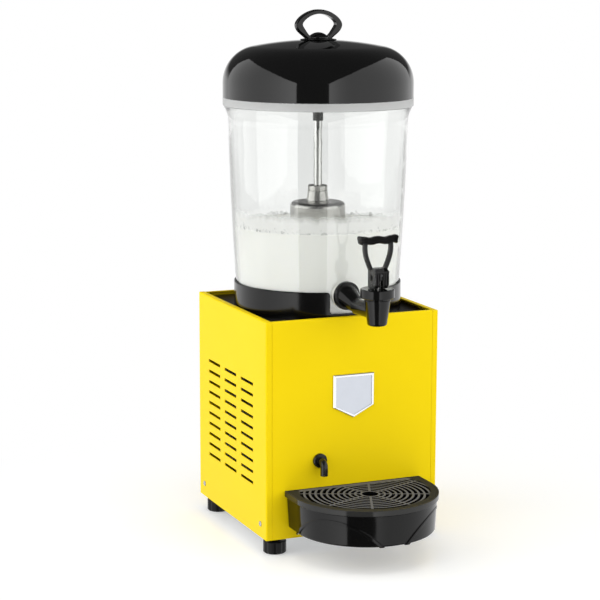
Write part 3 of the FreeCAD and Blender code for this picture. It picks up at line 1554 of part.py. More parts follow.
for foot_name, (foot_x, foot_y) in zip(foot_names, foot_places()):
    pieces[foot_name] = lambda x=foot_x, y=foot_y: levelling_foot(x, y)

os.makedirs("parts", exist_ok=True)
for name, make in pieces.items():
    shape = make()
    shape.exportStep("parts/" + name + ".step")
    print(name, len(shape.Solids), "solids", round(shape.Volume / 1000, 2), "cm3",
          "ok" if shape.isValid() else "INVALID")
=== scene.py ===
import math
import random

import bmesh
import bpy
from mathutils import Matrix, Vector


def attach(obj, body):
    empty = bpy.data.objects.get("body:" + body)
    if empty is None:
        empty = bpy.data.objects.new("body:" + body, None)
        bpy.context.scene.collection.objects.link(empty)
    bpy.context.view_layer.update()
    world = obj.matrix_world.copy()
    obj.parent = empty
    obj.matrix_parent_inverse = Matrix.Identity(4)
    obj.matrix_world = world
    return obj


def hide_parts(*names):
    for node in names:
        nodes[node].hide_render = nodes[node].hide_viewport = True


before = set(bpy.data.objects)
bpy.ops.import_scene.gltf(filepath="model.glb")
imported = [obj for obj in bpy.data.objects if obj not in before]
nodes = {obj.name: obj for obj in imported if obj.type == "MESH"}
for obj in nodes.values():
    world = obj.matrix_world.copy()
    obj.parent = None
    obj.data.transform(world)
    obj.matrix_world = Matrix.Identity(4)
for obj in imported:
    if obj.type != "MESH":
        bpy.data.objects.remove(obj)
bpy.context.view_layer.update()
mm = 0.001
# the bowl's axis, for all that stands in the bowl
bowlMiddle = Vector((0, 59.5, 0)) * mm
random.seed(11)
print("frame loaded:", len(nodes), "nodes")


# Small helpers for shader trees

def toLinear(hexCode):
    # sRGB hex to the linear colour that a socket takes
    parts = [int(hexCode[i:i + 2], 16) / 255 for i in (0, 2, 4)]
    return [p / 12.92 if p <= 0.04045 else ((p + 0.055) / 1.055) ** 2.4 for p in parts] + [1.0]


def addNode(tree, kind, settings=None, links=None):
    node = tree.nodes.new("ShaderNode" + kind)
    for name, value in (settings or {}).items():
        if isinstance(name, str) and hasattr(node, name):
            setattr(node, name, value)
        else:
            node.inputs[name].default_value = value
    for name, source in (links or {}).items():
        tree.links.new(source, node.inputs[name])
    return node


def newMaterial(name, base, roughness, **sockets):
    # base and roughness hold where no texture drives the socket
    material = bpy.data.materials.new(name)
    material.use_nodes = True
    tree = material.node_tree
    shader = tree.nodes["Principled BSDF"]
    shader.inputs["Base Color"].default_value = toLinear(base)
    shader.inputs["Roughness"].default_value = roughness
    for socket, value in sockets.items():
        shader.inputs[socket.replace("_", " ")].default_value = value
    coords = addNode(tree, "TexCoord")
    return material, tree, shader, coords.outputs["Object"]


def twoTones(tree, shader, first, second, factor):
    # the base colour runs from the first tone to the second
    tone = addNode(tree, "Mix", {"data_type": "RGBA", "A": toLinear(first), "B": toLinear(second)},
                   {"Factor": factor})
    tree.links.new(tone.outputs["Result"], shader.inputs["Base Color"])


def glossRange(tree, shader, gloss, value):
    # the roughness runs from the first number of gloss to the second
    first, second = gloss
    rough = addNode(tree, "MapRange", {"To Min": first, "To Max": second}, {"Value": value})
    tree.links.new(rough.outputs["Result"], shader.inputs["Roughness"])


def addBump(tree, shader, relief, height, **under):
    # relief: strength and depth of the bumps, on top of the normal that under may give
    strength, depth = relief
    bump = addNode(tree, "Bump", {"Strength": strength, "Distance": depth}, {"Height": height, **under})
    tree.links.new(bump.outputs["Normal"], shader.inputs["Normal"])


# Camera, lamps, world and table

cameraPlace = {
    "lens": 112.77, "sensor": 36.0,
    "target": (-0.0759, -0.0595, 0.3365),
    "azimuth": -23.03, "elevation": 10.14, "roll": 0.15, "distance": 2.398,
}


def addCamera(place):
    azimuth, elevation = math.radians(place["azimuth"]), math.radians(place["elevation"])
    back = Vector((math.sin(azimuth) * math.cos(elevation), -math.cos(azimuth) * math.cos(elevation),
                   math.sin(elevation)))
    right = Vector((math.cos(azimuth), math.sin(azimuth), 0))
    up = back.cross(right)
    turn = Matrix((right, up, back)).transposed() @ Matrix.Rotation(math.radians(place["roll"]), 3, "Z")
    spot = Vector(place["target"]) + back * place["distance"]
    data = bpy.data.cameras.new("productCamera")
    data.lens = place["lens"]
    data.sensor_width = place["sensor"]
    data.clip_start = 0.05
    data.clip_end = 40
    camera = bpy.data.objects.new("productCamera", data)
    camera.matrix_world = Matrix.Translation(spot) @ turn.to_4x4()
    bpy.context.scene.collection.objects.link(camera)
    bpy.context.scene.camera = camera
    bpy.context.scene.view_settings.view_transform = "Standard"


# azimuths run from the front of the object, as seen from above; radiance 1 is the level of white paper
lamps = {
    "leftLamp": {"azimuth": -98, "distance": 1.6, "level": 0.95, "width": 2.6, "height": 1.8,
                 "radiance": 1.35},
    "rightLamp": {"azimuth": 38, "distance": 2.0, "level": 0.95, "width": 2.8, "height": 1.8,
                  "radiance": 1.2},
    "topLamp": {"azimuth": -20, "distance": 0.7, "level": 2.3, "width": 1.4, "height": 1.0,
                "radiance": 2.0},
}
# what gloss and metal show: two tall sheets, lower and brighter at the edge that stands towards the camera
sheets = {
    "leftSheet": {"azimuth": -103.5, "distance": 1.30, "edges": (-1.85, 1.82), "foot": -0.9,
                  "tops": (2.25, 1.02), "radiance": 1.2, "hot": 2.2, "hotEdge": 1.82, "hotReach": 1.9},
    "rightSheet": {"azimuth": 54, "distance": 1.30, "edges": (-2.80, 2.80), "foot": -0.9,
                   "tops": (1.18, 2.8), "radiance": 1.15, "hot": 2.0, "hotEdge": -2.80, "hotReach": 1.9},
}
lightCentre = Vector((0, 0.03, 0.36))


def addLamp(name, lamp):
    # lights the matt colours only, so that its outline doesn't show in the gloss
    data = bpy.data.lights.new(name, "AREA")
    data.shape = "RECTANGLE"
    data.size, data.size_y = lamp["width"], lamp["height"]
    data.energy = lamp["radiance"] * lamp["width"] * lamp["height"] * math.pi
    light = bpy.data.objects.new(name, data)
    azimuth = math.radians(lamp["azimuth"])
    place = lightCentre + Vector((math.sin(azimuth), -math.cos(azimuth), 0)) * lamp["distance"]
    place.z = lamp["level"]
    turn = (place - lightCentre).to_track_quat("Z", "Y").to_matrix()
    light.matrix_world = Matrix.Translation(place) @ turn.to_4x4()
    light.visible_glossy = False
    light.visible_camera = False
    bpy.context.scene.collection.objects.link(light)


def addSheet(name, sheet):
    azimuth = math.radians(sheet["azimuth"])
    outwards = Vector((math.sin(azimuth), -math.cos(azimuth), 0))
    along = Vector((math.cos(azimuth), math.sin(azimuth), 0))
    foot = lightCentre + outwards * sheet["distance"]
    (first, second), (firstTop, secondTop) = sheet["edges"], sheet["tops"]
    corners = [(first, sheet["foot"]), (second, sheet["foot"]), (second, secondTop), (first, firstTop)]
    mesh = bpy.data.meshes.new(name)
    points = [foot + along * x for x, z in corners]
    mesh.from_pydata([(p.x, p.y, z) for p, (x, z) in zip(points, corners)], [], [(0, 1, 2, 3)])
    material = bpy.data.materials.new(name)
    material.use_nodes = True
    tree = material.node_tree
    tree.nodes.clear()
    # the distance from the bright edge, measured in plan
    spot = addNode(tree, "TexCoord").outputs["Object"]
    hot = foot + along * sheet["hotEdge"]
    aside = addNode(tree, "VectorMath", {"operation": "MULTIPLY", 1: (1, 1, 0)}, {0: spot})
    reach = addNode(tree, "VectorMath", {"operation": "DISTANCE", 1: (hot.x, hot.y, 0)},
                    {0: aside.outputs["Vector"]})
    level = addNode(tree, "MapRange",
                    {"interpolation_type": "SMOOTHSTEP", "From Min": 0.0, "From Max": sheet["hotReach"],
                     "To Min": sheet["hot"], "To Max": sheet["radiance"]},
                    {"Value": reach.outputs["Value"]})
    glow = addNode(tree, "Emission", links={"Strength": level.outputs["Result"]})
    addNode(tree, "OutputMaterial", links={"Surface": glow.outputs["Emission"]})
    mesh.materials.append(material)
    plane = bpy.data.objects.new(name, mesh)
    bpy.context.scene.collection.objects.link(plane)
    plane.visible_camera = False
    plane.visible_diffuse = False
    plane.visible_shadow = False
    plane.visible_transmission = False


def straightView(tree):
    # 1 where the eye looks at the white sweep directly or through the clear bowl, 0 after a bounce
    rays = addNode(tree, "LightPath")
    bounces = addNode(tree, "Math", {"operation": "ADD"},
                      {0: rays.outputs["Glossy Depth"], 1: rays.outputs["Diffuse Depth"]})
    unbounced = addNode(tree, "Math", {"operation": "LESS_THAN", 1: 0.5}, {0: bounces.outputs[0]})
    through = addNode(tree, "Math", {"operation": "MULTIPLY"},
                      {0: rays.outputs["Is Transmission Ray"], 1: unbounced.outputs[0]})
    return addNode(tree, "Math", {"operation": "MAXIMUM"},
                   {0: rays.outputs["Is Camera Ray"], 1: through.outputs[0]})


# the dim room in gloss, the fill that it gives to matt surfaces, and where the white sweep ends in it:
# its heights and half the width of its edge, as parts of a direction
roomLight = {"mirrored": 0.10, "fill": 0.72, "sweepTop": 0.16, "sweepFull": 0.02, "sweepEdge": 0.35}


def buildWorld(look):
    world = bpy.data.worlds.new("studio")
    bpy.context.scene.world = world
    world.use_nodes = True
    tree = world.node_tree
    background = tree.nodes["Background"]
    seen = straightView(tree)
    # the white sweep stands behind the object and ends a little above the horizon; the room is dim
    way = addNode(tree, "TexCoord").outputs["Generated"]
    parts = addNode(tree, "SeparateXYZ", links={"Vector": way})
    low = addNode(tree, "MapRange", {"From Min": look["sweepTop"], "From Max": look["sweepFull"],
                                     "To Min": 0.0, "To Max": 1.0}, {"Value": parts.outputs["Z"]})
    behind = addNode(tree, "MapRange", {"From Min": -look["sweepEdge"], "From Max": look["sweepEdge"]},
                     {"Value": parts.outputs["Y"]})
    sweep = addNode(tree, "Math", {"operation": "MULTIPLY"},
                    {0: low.outputs["Result"], 1: behind.outputs["Result"]})
    room = addNode(tree, "MapRange", {"To Min": look["mirrored"], "To Max": 1.0}, {"Value": sweep.outputs[0]})
    matt = addNode(tree, "Math", {"operation": "GREATER_THAN", 1: 0.5},
                   {0: addNode(tree, "LightPath").outputs["Diffuse Depth"]})
    filled = addNode(tree, "Mix", {"data_type": "FLOAT", "B": look["fill"]},
                     {"Factor": matt.outputs[0], "A": room.outputs["Result"]})
    lit = addNode(tree, "Mix", {"data_type": "FLOAT", "B": 1.0},
                  {"Factor": seen.outputs[0], "A": filled.outputs["Result"]})
    background.inputs["Color"].default_value = toLinear("FFFFFF")
    tree.links.new(lit.outputs["Result"], background.inputs["Strength"])


tableLook = {
    "colour": "E9E9E7", "radius": 6.0, "place": (0, 0.03, 0), "near": 0.30,
    "shadowReach": 0.22, "fadeReach": 0.60, "speckles": 900.0, "relief": (0.02, 0.5 * mm),
}


def buildTable(look):
    # a white laminate table: a soft shadow, a faint blurred mirror image
    material, tree, shader, coords = newMaterial("whiteLaminate", look["colour"], 0.30,
                                                 Specular_IOR_Level=0.25)
    speckle = addNode(tree, "TexNoise", {"Scale": look["speckles"], "Detail": 2.0}, {"Vector": coords})
    addBump(tree, shader, look["relief"], speckle.outputs["Fac"])
    seen = straightView(tree)
    # away from the object it is the plain white sweep; close by, the object's own shadow stays
    away = addNode(tree, "VectorMath", {"operation": "LENGTH"}, {0: coords})
    fade = addNode(tree, "MapRange", {"interpolation_type": "SMOOTHSTEP", "From Min": look["shadowReach"],
                                      "From Max": look["fadeReach"]}, {"Value": away.outputs["Value"]})
    share = addNode(tree, "Math", {"operation": "MULTIPLY"}, {0: seen.outputs[0], 1: fade.outputs["Result"]})
    lift = addNode(tree, "Math", {"operation": "MULTIPLY", 1: look["near"]}, {0: seen.outputs[0]})
    shader.inputs["Emission Color"].default_value = toLinear("FFFFFF")
    tree.links.new(lift.outputs[0], shader.inputs["Emission Strength"])
    white = addNode(tree, "Emission", {"Strength": 1.0})
    mixed = addNode(tree, "MixShader", links={0: share.outputs[0], 1: shader.outputs["BSDF"],
                                              2: white.outputs["Emission"]})
    tree.links.new(mixed.outputs["Shader"], tree.nodes["Material Output"].inputs["Surface"])
    mesh = bpy.data.meshes.new("tableTop")
    form = bmesh.new()
    bmesh.ops.create_circle(form, cap_ends=True, segments=96, radius=look["radius"])
    form.to_mesh(mesh)
    form.free()
    mesh.materials.append(material)
    table = bpy.data.objects.new("tableTop", mesh)
    table.location = look["place"]
    table.visible_glossy = False
    bpy.context.scene.collection.objects.link(table)


addCamera(cameraPlace)
for lampName, lamp in lamps.items():
    addLamp(lampName, lamp)
for sheetName, sheet in sheets.items():
    addSheet(sheetName, sheet)
buildWorld(roomLight)
buildTable(tableLook)
print("camera, lamps and table are set")


# Materials

def powderCoat():
    # polyester powder coat on sheet steel: glossy yellow with a fine orange peel
    look = {"sheet": "F6D814", "thin": "F2D30F", "cloud": 90 * mm, "peel": 1.6 * mm, "gloss": (0.16, 0.24),
            "relief": (0.04, 0.1 * mm)}
    material, tree, shader, coords = newMaterial("powderCoatYellow", look["sheet"], 0.28,
                                                 Specular_IOR_Level=0.03)
    cloud = addNode(tree, "TexNoise", {"Scale": 1 / look["cloud"], "Detail": 3.0}, {"Vector": coords})
    twoTones(tree, shader, look["sheet"], look["thin"], cloud.outputs["Fac"])
    peel = addNode(tree, "TexNoise", {"Scale": 1 / look["peel"], "Detail": 2.0, "Roughness": 0.4},
                   {"Vector": coords})
    glossRange(tree, shader, look["gloss"], peel.outputs["Fac"])
    addBump(tree, shader, look["relief"], peel.outputs["Fac"])
    return material


def zincSheet():
    # hot-dip galvanised steel: grey crystals of zinc, a few millimetres across
    look = {"light": "B9BCBE", "dark": "8E9294", "crystal": 7 * mm, "gloss": (0.34, 0.55)}
    material, tree, shader, coords = newMaterial("galvanisedSteel", look["light"], 0.42, Metallic=1.0)
    crystal = addNode(tree, "TexVoronoi", {"Scale": 1 / look["crystal"], "Randomness": 1.0},
                      {"Vector": coords})
    twoTones(tree, shader, look["light"], look["dark"], crystal.outputs["Color"])
    glossRange(tree, shader, look["gloss"], crystal.outputs["Color"])
    return material


def moulded(name, colour, worn, roughness, grain, relief, edge=0.4 * mm, mirrored=0.5):
    # plastic from the mould: a polished or lightly eroded tool leaves the gloss, and edges catch the light
    flowWidth = 30 * mm
    material, tree, shader, coords = newMaterial(name, colour, roughness, Specular_IOR_Level=mirrored)
    flow = addNode(tree, "TexNoise", {"Scale": 1 / flowWidth, "Detail": 2.0}, {"Vector": coords})
    twoTones(tree, shader, colour, worn, flow.outputs["Fac"])
    pits = addNode(tree, "TexNoise", {"Scale": 1 / grain, "Detail": 3.0}, {"Vector": coords})
    glossRange(tree, shader, (roughness * 0.75, roughness * 1.25), pits.outputs["Fac"])
    rounded = addNode(tree, "Bevel", {"samples": 4, "Radius": edge})
    addBump(tree, shader, (relief, 0.1 * mm), pits.outputs["Fac"], Normal=rounded.outputs["Normal"])
    return material


def grilleAbs():
    # the tray's grille: satin black border, and ribs with a painted highlight on their tops and painted shade
    # on their sides
    look = {"border": "2E2E2C", "worn": "333331", "rib": "636468", "side": "0B0B0C",
            "middle": (0, -0.0957, 0.0866), "ribReach": 86 * mm}
    material = moulded("mouldedGrilleAbs", look["border"], look["worn"], 0.55, 0.8 * mm, 0.06,
                       edge=0.7 * mm, mirrored=0.03)
    tree = material.node_tree
    shader = tree.nodes["Principled BSDF"]
    flow = shader.inputs["Base Color"].links[0].from_socket
    coords = addNode(tree, "TexCoord").outputs["Object"]
    away = addNode(tree, "VectorMath", {"operation": "DISTANCE", 1: look["middle"]}, {0: coords})
    ribbed = addNode(tree, "MapRange", {"From Min": look["ribReach"], "From Max": look["ribReach"] - 3 * mm},
                     {"Value": away.outputs["Value"]})
    # painted highlight and shade: faces that look up are painted pale grey, the ribs' sides near black
    facing = addNode(tree, "SeparateXYZ", links={"Vector": addNode(tree, "NewGeometry").outputs["Normal"]})
    top = addNode(tree, "MapRange", {"From Min": 0.4, "From Max": 0.8}, {"Value": facing.outputs["Z"]})
    rib = addNode(tree, "Mix", {"data_type": "RGBA", "A": toLinear(look["side"]), "B": toLinear(look["rib"])},
                  {"Factor": top.outputs["Result"]})
    tone = addNode(tree, "Mix", {"data_type": "RGBA"},
                   {"Factor": ribbed.outputs["Result"], "A": flow, "B": rib.outputs["Result"]})
    tree.links.new(tone.outputs["Result"], shader.inputs["Base Color"])
    return material


def trayAbs():
    # the tray: gloss sides, and the top of its rim worn dull by wiping
    look = {"black": "070707", "worn": "0B0B0A", "rimTop": 86.4 * mm, "rimEdge": 0.8 * mm, "dull": 0.6,
            "lip": "2B2B2A", "lipFoot": 79.6 * mm, "lipBlur": 1.0 * mm}
    material = moulded("mouldedTrayAbs", look["black"], look["worn"], 0.10, 1.2 * mm, 0.03,
                       edge=0.8 * mm, mirrored=0.28)
    tree = material.node_tree
    shader = tree.nodes["Principled BSDF"]
    flow = shader.inputs["Base Color"].links[0].from_socket
    gloss = shader.inputs["Roughness"].links[0].from_socket
    height = addNode(tree, "SeparateXYZ", links={"Vector": addNode(tree, "TexCoord").outputs["Object"]})
    wiped = addNode(tree, "MapRange", {"From Min": look["rimTop"] - look["rimEdge"],
                                       "From Max": look["rimTop"], "To Max": look["dull"]},
                    {"Value": height.outputs["Z"]})
    # painted highlight: the lip above this height is painted a paler black, as a band of sheen along its
    # curve
    paintedLipSheen = addNode(tree, "MapRange", {"From Min": look["lipFoot"] - look["lipBlur"],
                                        "From Max": look["lipFoot"] + look["lipBlur"]},
                     {"Value": height.outputs["Z"]})
    tone = addNode(tree, "Mix", {"data_type": "RGBA", "B": toLinear(look["lip"])},
                   {"Factor": paintedLipSheen.outputs["Result"], "A": flow})
    tree.links.new(tone.outputs["Result"], shader.inputs["Base Color"])
    dull = addNode(tree, "Math", {"operation": "MAXIMUM"}, {0: gloss, 1: wiped.outputs["Result"]})
    tree.links.new(dull.outputs[0], shader.inputs["Roughness"])
    return material


def clearBowl():
    # moulded polycarbonate: clear wall, with faint upright flow lines and a milky rim band
    look = {"clear": "F8F9F8", "frosted": "A8A9A9", "shade": "FBFCFB", "band": 0.5751, "blur": 0.4 * mm,
            "polished": 0.02, "eroded": 0.46, "bandThrough": 0.45, "lines": 45.0, "drawnOut": (1, 1, 0.02),
            "relief": (0.10, 0.4 * mm)}
    material, tree, shader, coords = newMaterial("clearPolycarbonate", look["clear"], look["polished"],
                                                 IOR=1.585, Transmission_Weight=1.0)
    # the rim band above this height has a fine eroded finish that scatters the light
    height = addNode(tree, "SeparateXYZ", links={"Vector": coords}).outputs["Z"]
    bandFoot = {"From Min": look["band"] - look["blur"], "From Max": look["band"] + look["blur"]}
    rough = addNode(tree, "MapRange", {**bandFoot, "To Min": look["polished"], "To Max": look["eroded"]},
                    {"Value": height})
    clear = addNode(tree, "MapRange", {**bandFoot, "To Min": 1.0, "To Max": look["bandThrough"]},
                    {"Value": height})
    tree.links.new(rough.outputs["Result"], shader.inputs["Roughness"])
    tree.links.new(clear.outputs["Result"], shader.inputs["Transmission Weight"])
    twoTones(tree, shader, look["frosted"], look["clear"], clear.outputs["Result"])
    place = addNode(tree, "VectorMath", {"operation": "SUBTRACT", 1: bowlMiddle}, {0: coords})
    flat = addNode(tree, "VectorMath", {"operation": "MULTIPLY", 1: look["drawnOut"]},
                   {0: place.outputs["Vector"]})
    lines = addNode(tree, "TexNoise", {"Scale": look["lines"], "Detail": 2.0},
                    {"Vector": flat.outputs["Vector"]})
    addBump(tree, shader, look["relief"], lines.outputs["Fac"])
    # shadows stay light, as they do behind a thin clear wall
    rays = addNode(tree, "LightPath")
    through = addNode(tree, "BsdfTransparent", {"Color": toLinear(look["shade"])})
    mixed = addNode(tree, "MixShader", links={0: rays.outputs["Is Shadow Ray"], 1: shader.outputs["BSDF"],
                                              2: through.outputs["BSDF"]})
    tree.links.new(mixed.outputs["Shader"], tree.nodes["Material Output"].inputs["Surface"])
    return material


def milkyDrink():
    # an opaque milky drink: soft white body with a slight warm tone and a wet surface
    look = {"body": "FCFCF7", "fat": "F6F7F1", "streak": 24 * mm, "glow": 0.14}
    material, tree, shader, coords = newMaterial("milkyDrink", look["body"], 0.22, IOR=1.35,
                                                 Subsurface_Weight=0.12, Subsurface_Scale=0.01,
                                                 Subsurface_Radius=(1.0, 0.9, 0.75))
    # painted glow: the drink gives off a little light of its own, which makes it brighter than its lighting
    # does
    shader.inputs["Emission Color"].default_value = toLinear(look["body"])
    shader.inputs["Emission Strength"].default_value = look["glow"]
    stretched = addNode(tree, "VectorMath", {"operation": "MULTIPLY", 1: (1, 1, 0.25)}, {0: coords})
    streak = addNode(tree, "TexNoise", {"Scale": 1 / look["streak"], "Detail": 3.0},
                     {"Vector": stretched.outputs["Vector"]})
    twoTones(tree, shader, look["body"], look["fat"], streak.outputs["Fac"])
    return material


def turnedSteel(name, colour, roughness, pitch, squeeze):
    # stainless steel, polished round and round: fine rings that draw the highlights out
    material, tree, shader, coords = newMaterial(name, colour, roughness, Metallic=1.0)
    stretched = addNode(tree, "VectorMath", {"operation": "MULTIPLY", 1: squeeze}, {0: coords})
    rings = addNode(tree, "TexNoise", {"Scale": 1 / pitch, "Detail": 2.0},
                    {"Vector": stretched.outputs["Vector"]})
    glossRange(tree, shader, (roughness * 0.85, roughness * 1.15), rings.outputs["Fac"])
    addBump(tree, shader, (0.03, 0.1 * mm), rings.outputs["Fac"])
    return material


def tarnished(name, light, dark, roughness, patch):
    # drawn or rolled metal with faint darker patches from handling and heat
    material, tree, shader, coords = newMaterial(name, light, roughness, Metallic=1.0)
    patches = addNode(tree, "TexNoise", {"Scale": 1 / patch, "Detail": 4.0, "Roughness": 0.6},
                      {"Vector": coords})
    twoTones(tree, shader, light, dark, patches.outputs["Fac"])
    glossRange(tree, shader, (roughness * 0.7, roughness * 1.4), patches.outputs["Fac"])
    return material


def stampedBadge():
    # stamped aluminium: satin field, with the raised border polished bright
    look = {"field": "D3D7DF", "patch": "CACED6", "spread": 12 * mm, "border": "F1F3F7",
            "borderFace": -61.2 * mm, "borderDepth": 0.2 * mm, "gloss": (0.32, 0.14), "edge": 0.5 * mm}
    material, tree, shader, coords = newMaterial("stampedAluminium", look["field"], 0.3, Metallic=1.0)
    cloud = addNode(tree, "TexNoise", {"Scale": 1 / look["spread"], "Detail": 3.0}, {"Vector": coords})
    field = addNode(tree, "Mix", {"data_type": "RGBA", "A": toLinear(look["field"]),
                                  "B": toLinear(look["patch"])}, {"Factor": cloud.outputs["Fac"]})
    depth = addNode(tree, "SeparateXYZ", links={"Vector": coords})
    raised = addNode(tree, "MapRange", {"From Min": look["borderFace"] + look["borderDepth"],
                                        "From Max": look["borderFace"]}, {"Value": depth.outputs["Y"]})
    tone = addNode(tree, "Mix", {"data_type": "RGBA", "B": toLinear(look["border"])},
                   {"Factor": raised.outputs["Result"], "A": field.outputs["Result"]})
    tree.links.new(tone.outputs["Result"], shader.inputs["Base Color"])
    glossRange(tree, shader, look["gloss"], raised.outputs["Result"])
    rounded = addNode(tree, "Bevel", {"samples": 4, "Radius": look["edge"]})
    tree.links.new(rounded.outputs["Normal"], shader.inputs["Normal"])
    return material


def softRubber(name, colour, bloom, roughness):
    # moulded rubber: matt, with a pale bloom in patches
    patchWidth = 9 * mm
    material, tree, shader, coords = newMaterial(name, colour, roughness, IOR=1.45)
    dust = addNode(tree, "TexNoise", {"Scale": 1 / patchWidth, "Detail": 4.0}, {"Vector": coords})
    twoTones(tree, shader, colour, bloom, dust.outputs["Fac"])
    addBump(tree, shader, (0.15, 0.2 * mm), dust.outputs["Fac"])
    return material


def foamedInPlace():
    # rigid polyurethane foam: cream, with open cells about a millimetre across
    look = {"light": "E6D7A6", "dark": "CDB878", "cell": 1.4 * mm, "relief": (0.5, 0.4 * mm)}
    material, tree, shader, coords = newMaterial("polyurethaneFoam", look["light"], 0.85)
    cells = addNode(tree, "TexVoronoi", {"Scale": 1 / look["cell"]}, {"Vector": coords})
    # painted shade: each cell's hollow is painted darker, towards the light tone at its rim
    twoTones(tree, shader, look["dark"], look["light"], cells.outputs["Distance"])
    addBump(tree, shader, look["relief"], cells.outputs["Distance"])
    return material


# the polishing rings: drawn out sideways on an upright part, and even all round on the small ones
upright, allRound = (0.02, 0.02, 1), (1, 1, 1)

# the numbers after the name and the colours: roughness, then for plastics the size and relief of the grain,
# for metals the size of rings or patches
looks = {
    "powder": powderCoat(),
    "zinc": zincSheet(),
    "glossBlack": moulded("mouldedGlossAbs", "090909", "0C0C0C", 0.06, 4 * mm, 0.01),
    "satinBlack": moulded("mouldedSatinAbs", "101010", "161615", 0.24, 0.9 * mm, 0.05),
    "tapBlack": moulded("mouldedAcetal", "060606", "0A0A0A", 0.14, 1.5 * mm, 0.03,
                        edge=0.8 * mm, mirrored=0.36),
    "leverBlack": moulded("ribbedAcetal", "060606", "0A0A0A", 0.16, 1.5 * mm, 0.03,
                          edge=0.15 * mm, mirrored=0.42),
    "trayBlack": trayAbs(),
    "grilleBlack": grilleAbs(),
    "deckBlack": moulded("thermoformedDeck", "0C0C0B", "121211", 0.30, 1.1 * mm, 0.06, edge=1.0 * mm),
    "footBlack": moulded("mouldedPolyamide", "090909", "0E0E0E", 0.36, 0.7 * mm, 0.05, mirrored=0.2),
    "greyMoulding": moulded("mouldedPolypropylene", "4A4B4D", "56575A", 0.42, 0.8 * mm, 0.05),
    "rockerRed": moulded("mouldedRedRocker", "A31515", "B01B1B", 0.22, 0.9 * mm, 0.02),
    "bowl": clearBowl(),
    "drink": milkyDrink(),
    "satinSteel": turnedSteel("satinStainless", "C9C8C4", 0.26, 0.5 * mm, upright),
    "chromeTube": turnedSteel("polishedTube", "D6D6D4", 0.07, 2 * mm, upright),
    "pinSteel": turnedSteel("drawnPin", "BDBDBA", 0.22, 1 * mm, allRound),
    "brightZinc": tarnished("brightZincPlate", "C9CACC", "A9ABAE", 0.22, 2 * mm),
    "badge": stampedBadge(),
    "copper": tarnished("drawnCopper", "C8805A", "9A5B3E", 0.30, 14 * mm),
    "fins": tarnished("millAluminium", "C9CBCD", "A9ACB0", 0.34, 20 * mm),
    "potEnamel": moulded("blackStoveEnamel", "0D0D0E", "151516", 0.24, 2.2 * mm, 0.08),
    "rubber": softRubber("blackRubber", "0F0F0F", "191918", 0.62),
    "silicone": softRubber("clearSilicone", "D9D9D3", "CFCFC8", 0.40),
    "foam": foamedInPlace(),
}

nodeLooks = {
    "powder": ["left_side_panel", "right_side_panel", "front_panel", "back_panel"],
    "zinc": ["base_pan", "fan_shroud", "fan_motor", "pump_motor", "drive_magnet", "tray_bracket"],
    "glossBlack": ["lid", "lid_handle", "handle_cap"],
    "satinBlack": ["impeller", "pump_housing", "spray_nozzle", "switch_housings", "power_inlet",
                   "drain_spout"],
    "tapBlack": ["tap_body", "tap_nut", "tap_bonnet", "tap_lever", "bowl_collar", "tap_pin"],
    "trayBlack": ["drip_tray"],
    "grilleBlack": ["drip_grille"],
    "deckBlack": ["top_deck"],
    "footBlack": ["front_left_foot", "front_right_foot", "rear_left_foot", "rear_right_foot"],
    "greyMoulding": ["terminal_cover", "fan_blades", "thermostat", "thermostat_spindle"],
    "rockerRed": ["cooling_rocker", "pump_rocker"],
    "bowl": ["bowl"],
    "drink": ["drink"],
    "satinSteel": ["pump_bell", "neck_collar", "cold_plate"],
    "chromeTube": ["spray_tube"],
    "pinSteel": ["tap_stem", "tap_spring"],
    "brightZinc": ["panel_screws"],
    "badge": ["badge_plate"],
    "copper": ["filter_drier", "discharge_line", "capillary_tube", "evaporator_coil"],
    "fins": ["condenser"],
    "potEnamel": ["compressor"],
    "rubber": ["compressor_mounts"],
    "silicone": ["drain_hose", "bowl_gasket", "tap_washers", "tap_seat_cup"],
    "foam": ["insulation"],
}
for lookName, nodeNames in nodeLooks.items():
    for nodeName in nodeNames:
        data = nodes[nodeName].data
        data.materials.clear()
        data.materials.append(looks[lookName])
bare = [name for name in nodes if name not in sum(nodeLooks.values(), [])]
print("materials are set; nodes without one:", bare)


# Pieces

def addPiece(name, form, material, body, smooth=True):
    mesh = bpy.data.meshes.new(name)
    form.to_mesh(mesh)
    form.free()
    for face in mesh.polygons:
        face.use_smooth = smooth
    mesh.materials.append(material)
    piece = bpy.data.objects.new(name, mesh)
    bpy.context.scene.collection.objects.link(piece)
    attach(piece, body)
    return piece


def distinct(corners):
    # a ring of one point gives the same corner twice
    return [corner for i, corner in enumerate(corners) if corner not in corners[:i]]


def lathe(form, profile, place, segments):
    # profile: radius and height pairs; place: a matrix
    rings = []
    for radius, height in profile:
        if radius < 1e-7:
            rings.append([form.verts.new(place @ Vector((0, 0, height)))])
            continue
        ring = []
        for step in range(segments):
            angle = 2 * math.pi * step / segments
            spot = Vector((radius * math.cos(angle), radius * math.sin(angle), height))
            ring.append(form.verts.new(place @ spot))
        rings.append(ring)
    for lower, upper in zip(rings, rings[1:]):
        for step in range(segments):
            following = (step + 1) % segments
            corners = distinct([lower[step % len(lower)], lower[following % len(lower)],
                                upper[following % len(upper)], upper[step % len(upper)]])
            if len(corners) > 2:
                form.faces.new(corners)


crossScrew = {
    "headRadius": 3.6 * mm, "headHeight": 1.9 * mm, "rim": 0.5 * mm, "dome": 2.4, "rings": 20, "segments": 48,
    "recessReach": 1.9 * mm, "recessWidth": 0.42 * mm, "recessDepth": 1.3 * mm,
    "shankRadius": 1.95 * mm, "shankLength": 8 * mm, "firstTurn": 0.4, "nextTurn": 0.9,
}
# two low on each side panel, four on the back; each with the way that it faces
screwPlaces = [((side * 122.5, y, 40.0), (side, 0, 0)) for side in (-1, 1) for y in (-39.5, 170.5)]
screwPlaces += [((side * 102.5, 190.5, z), (0, 1, 0)) for side in (-1, 1) for z in (40.0, 287.0)]


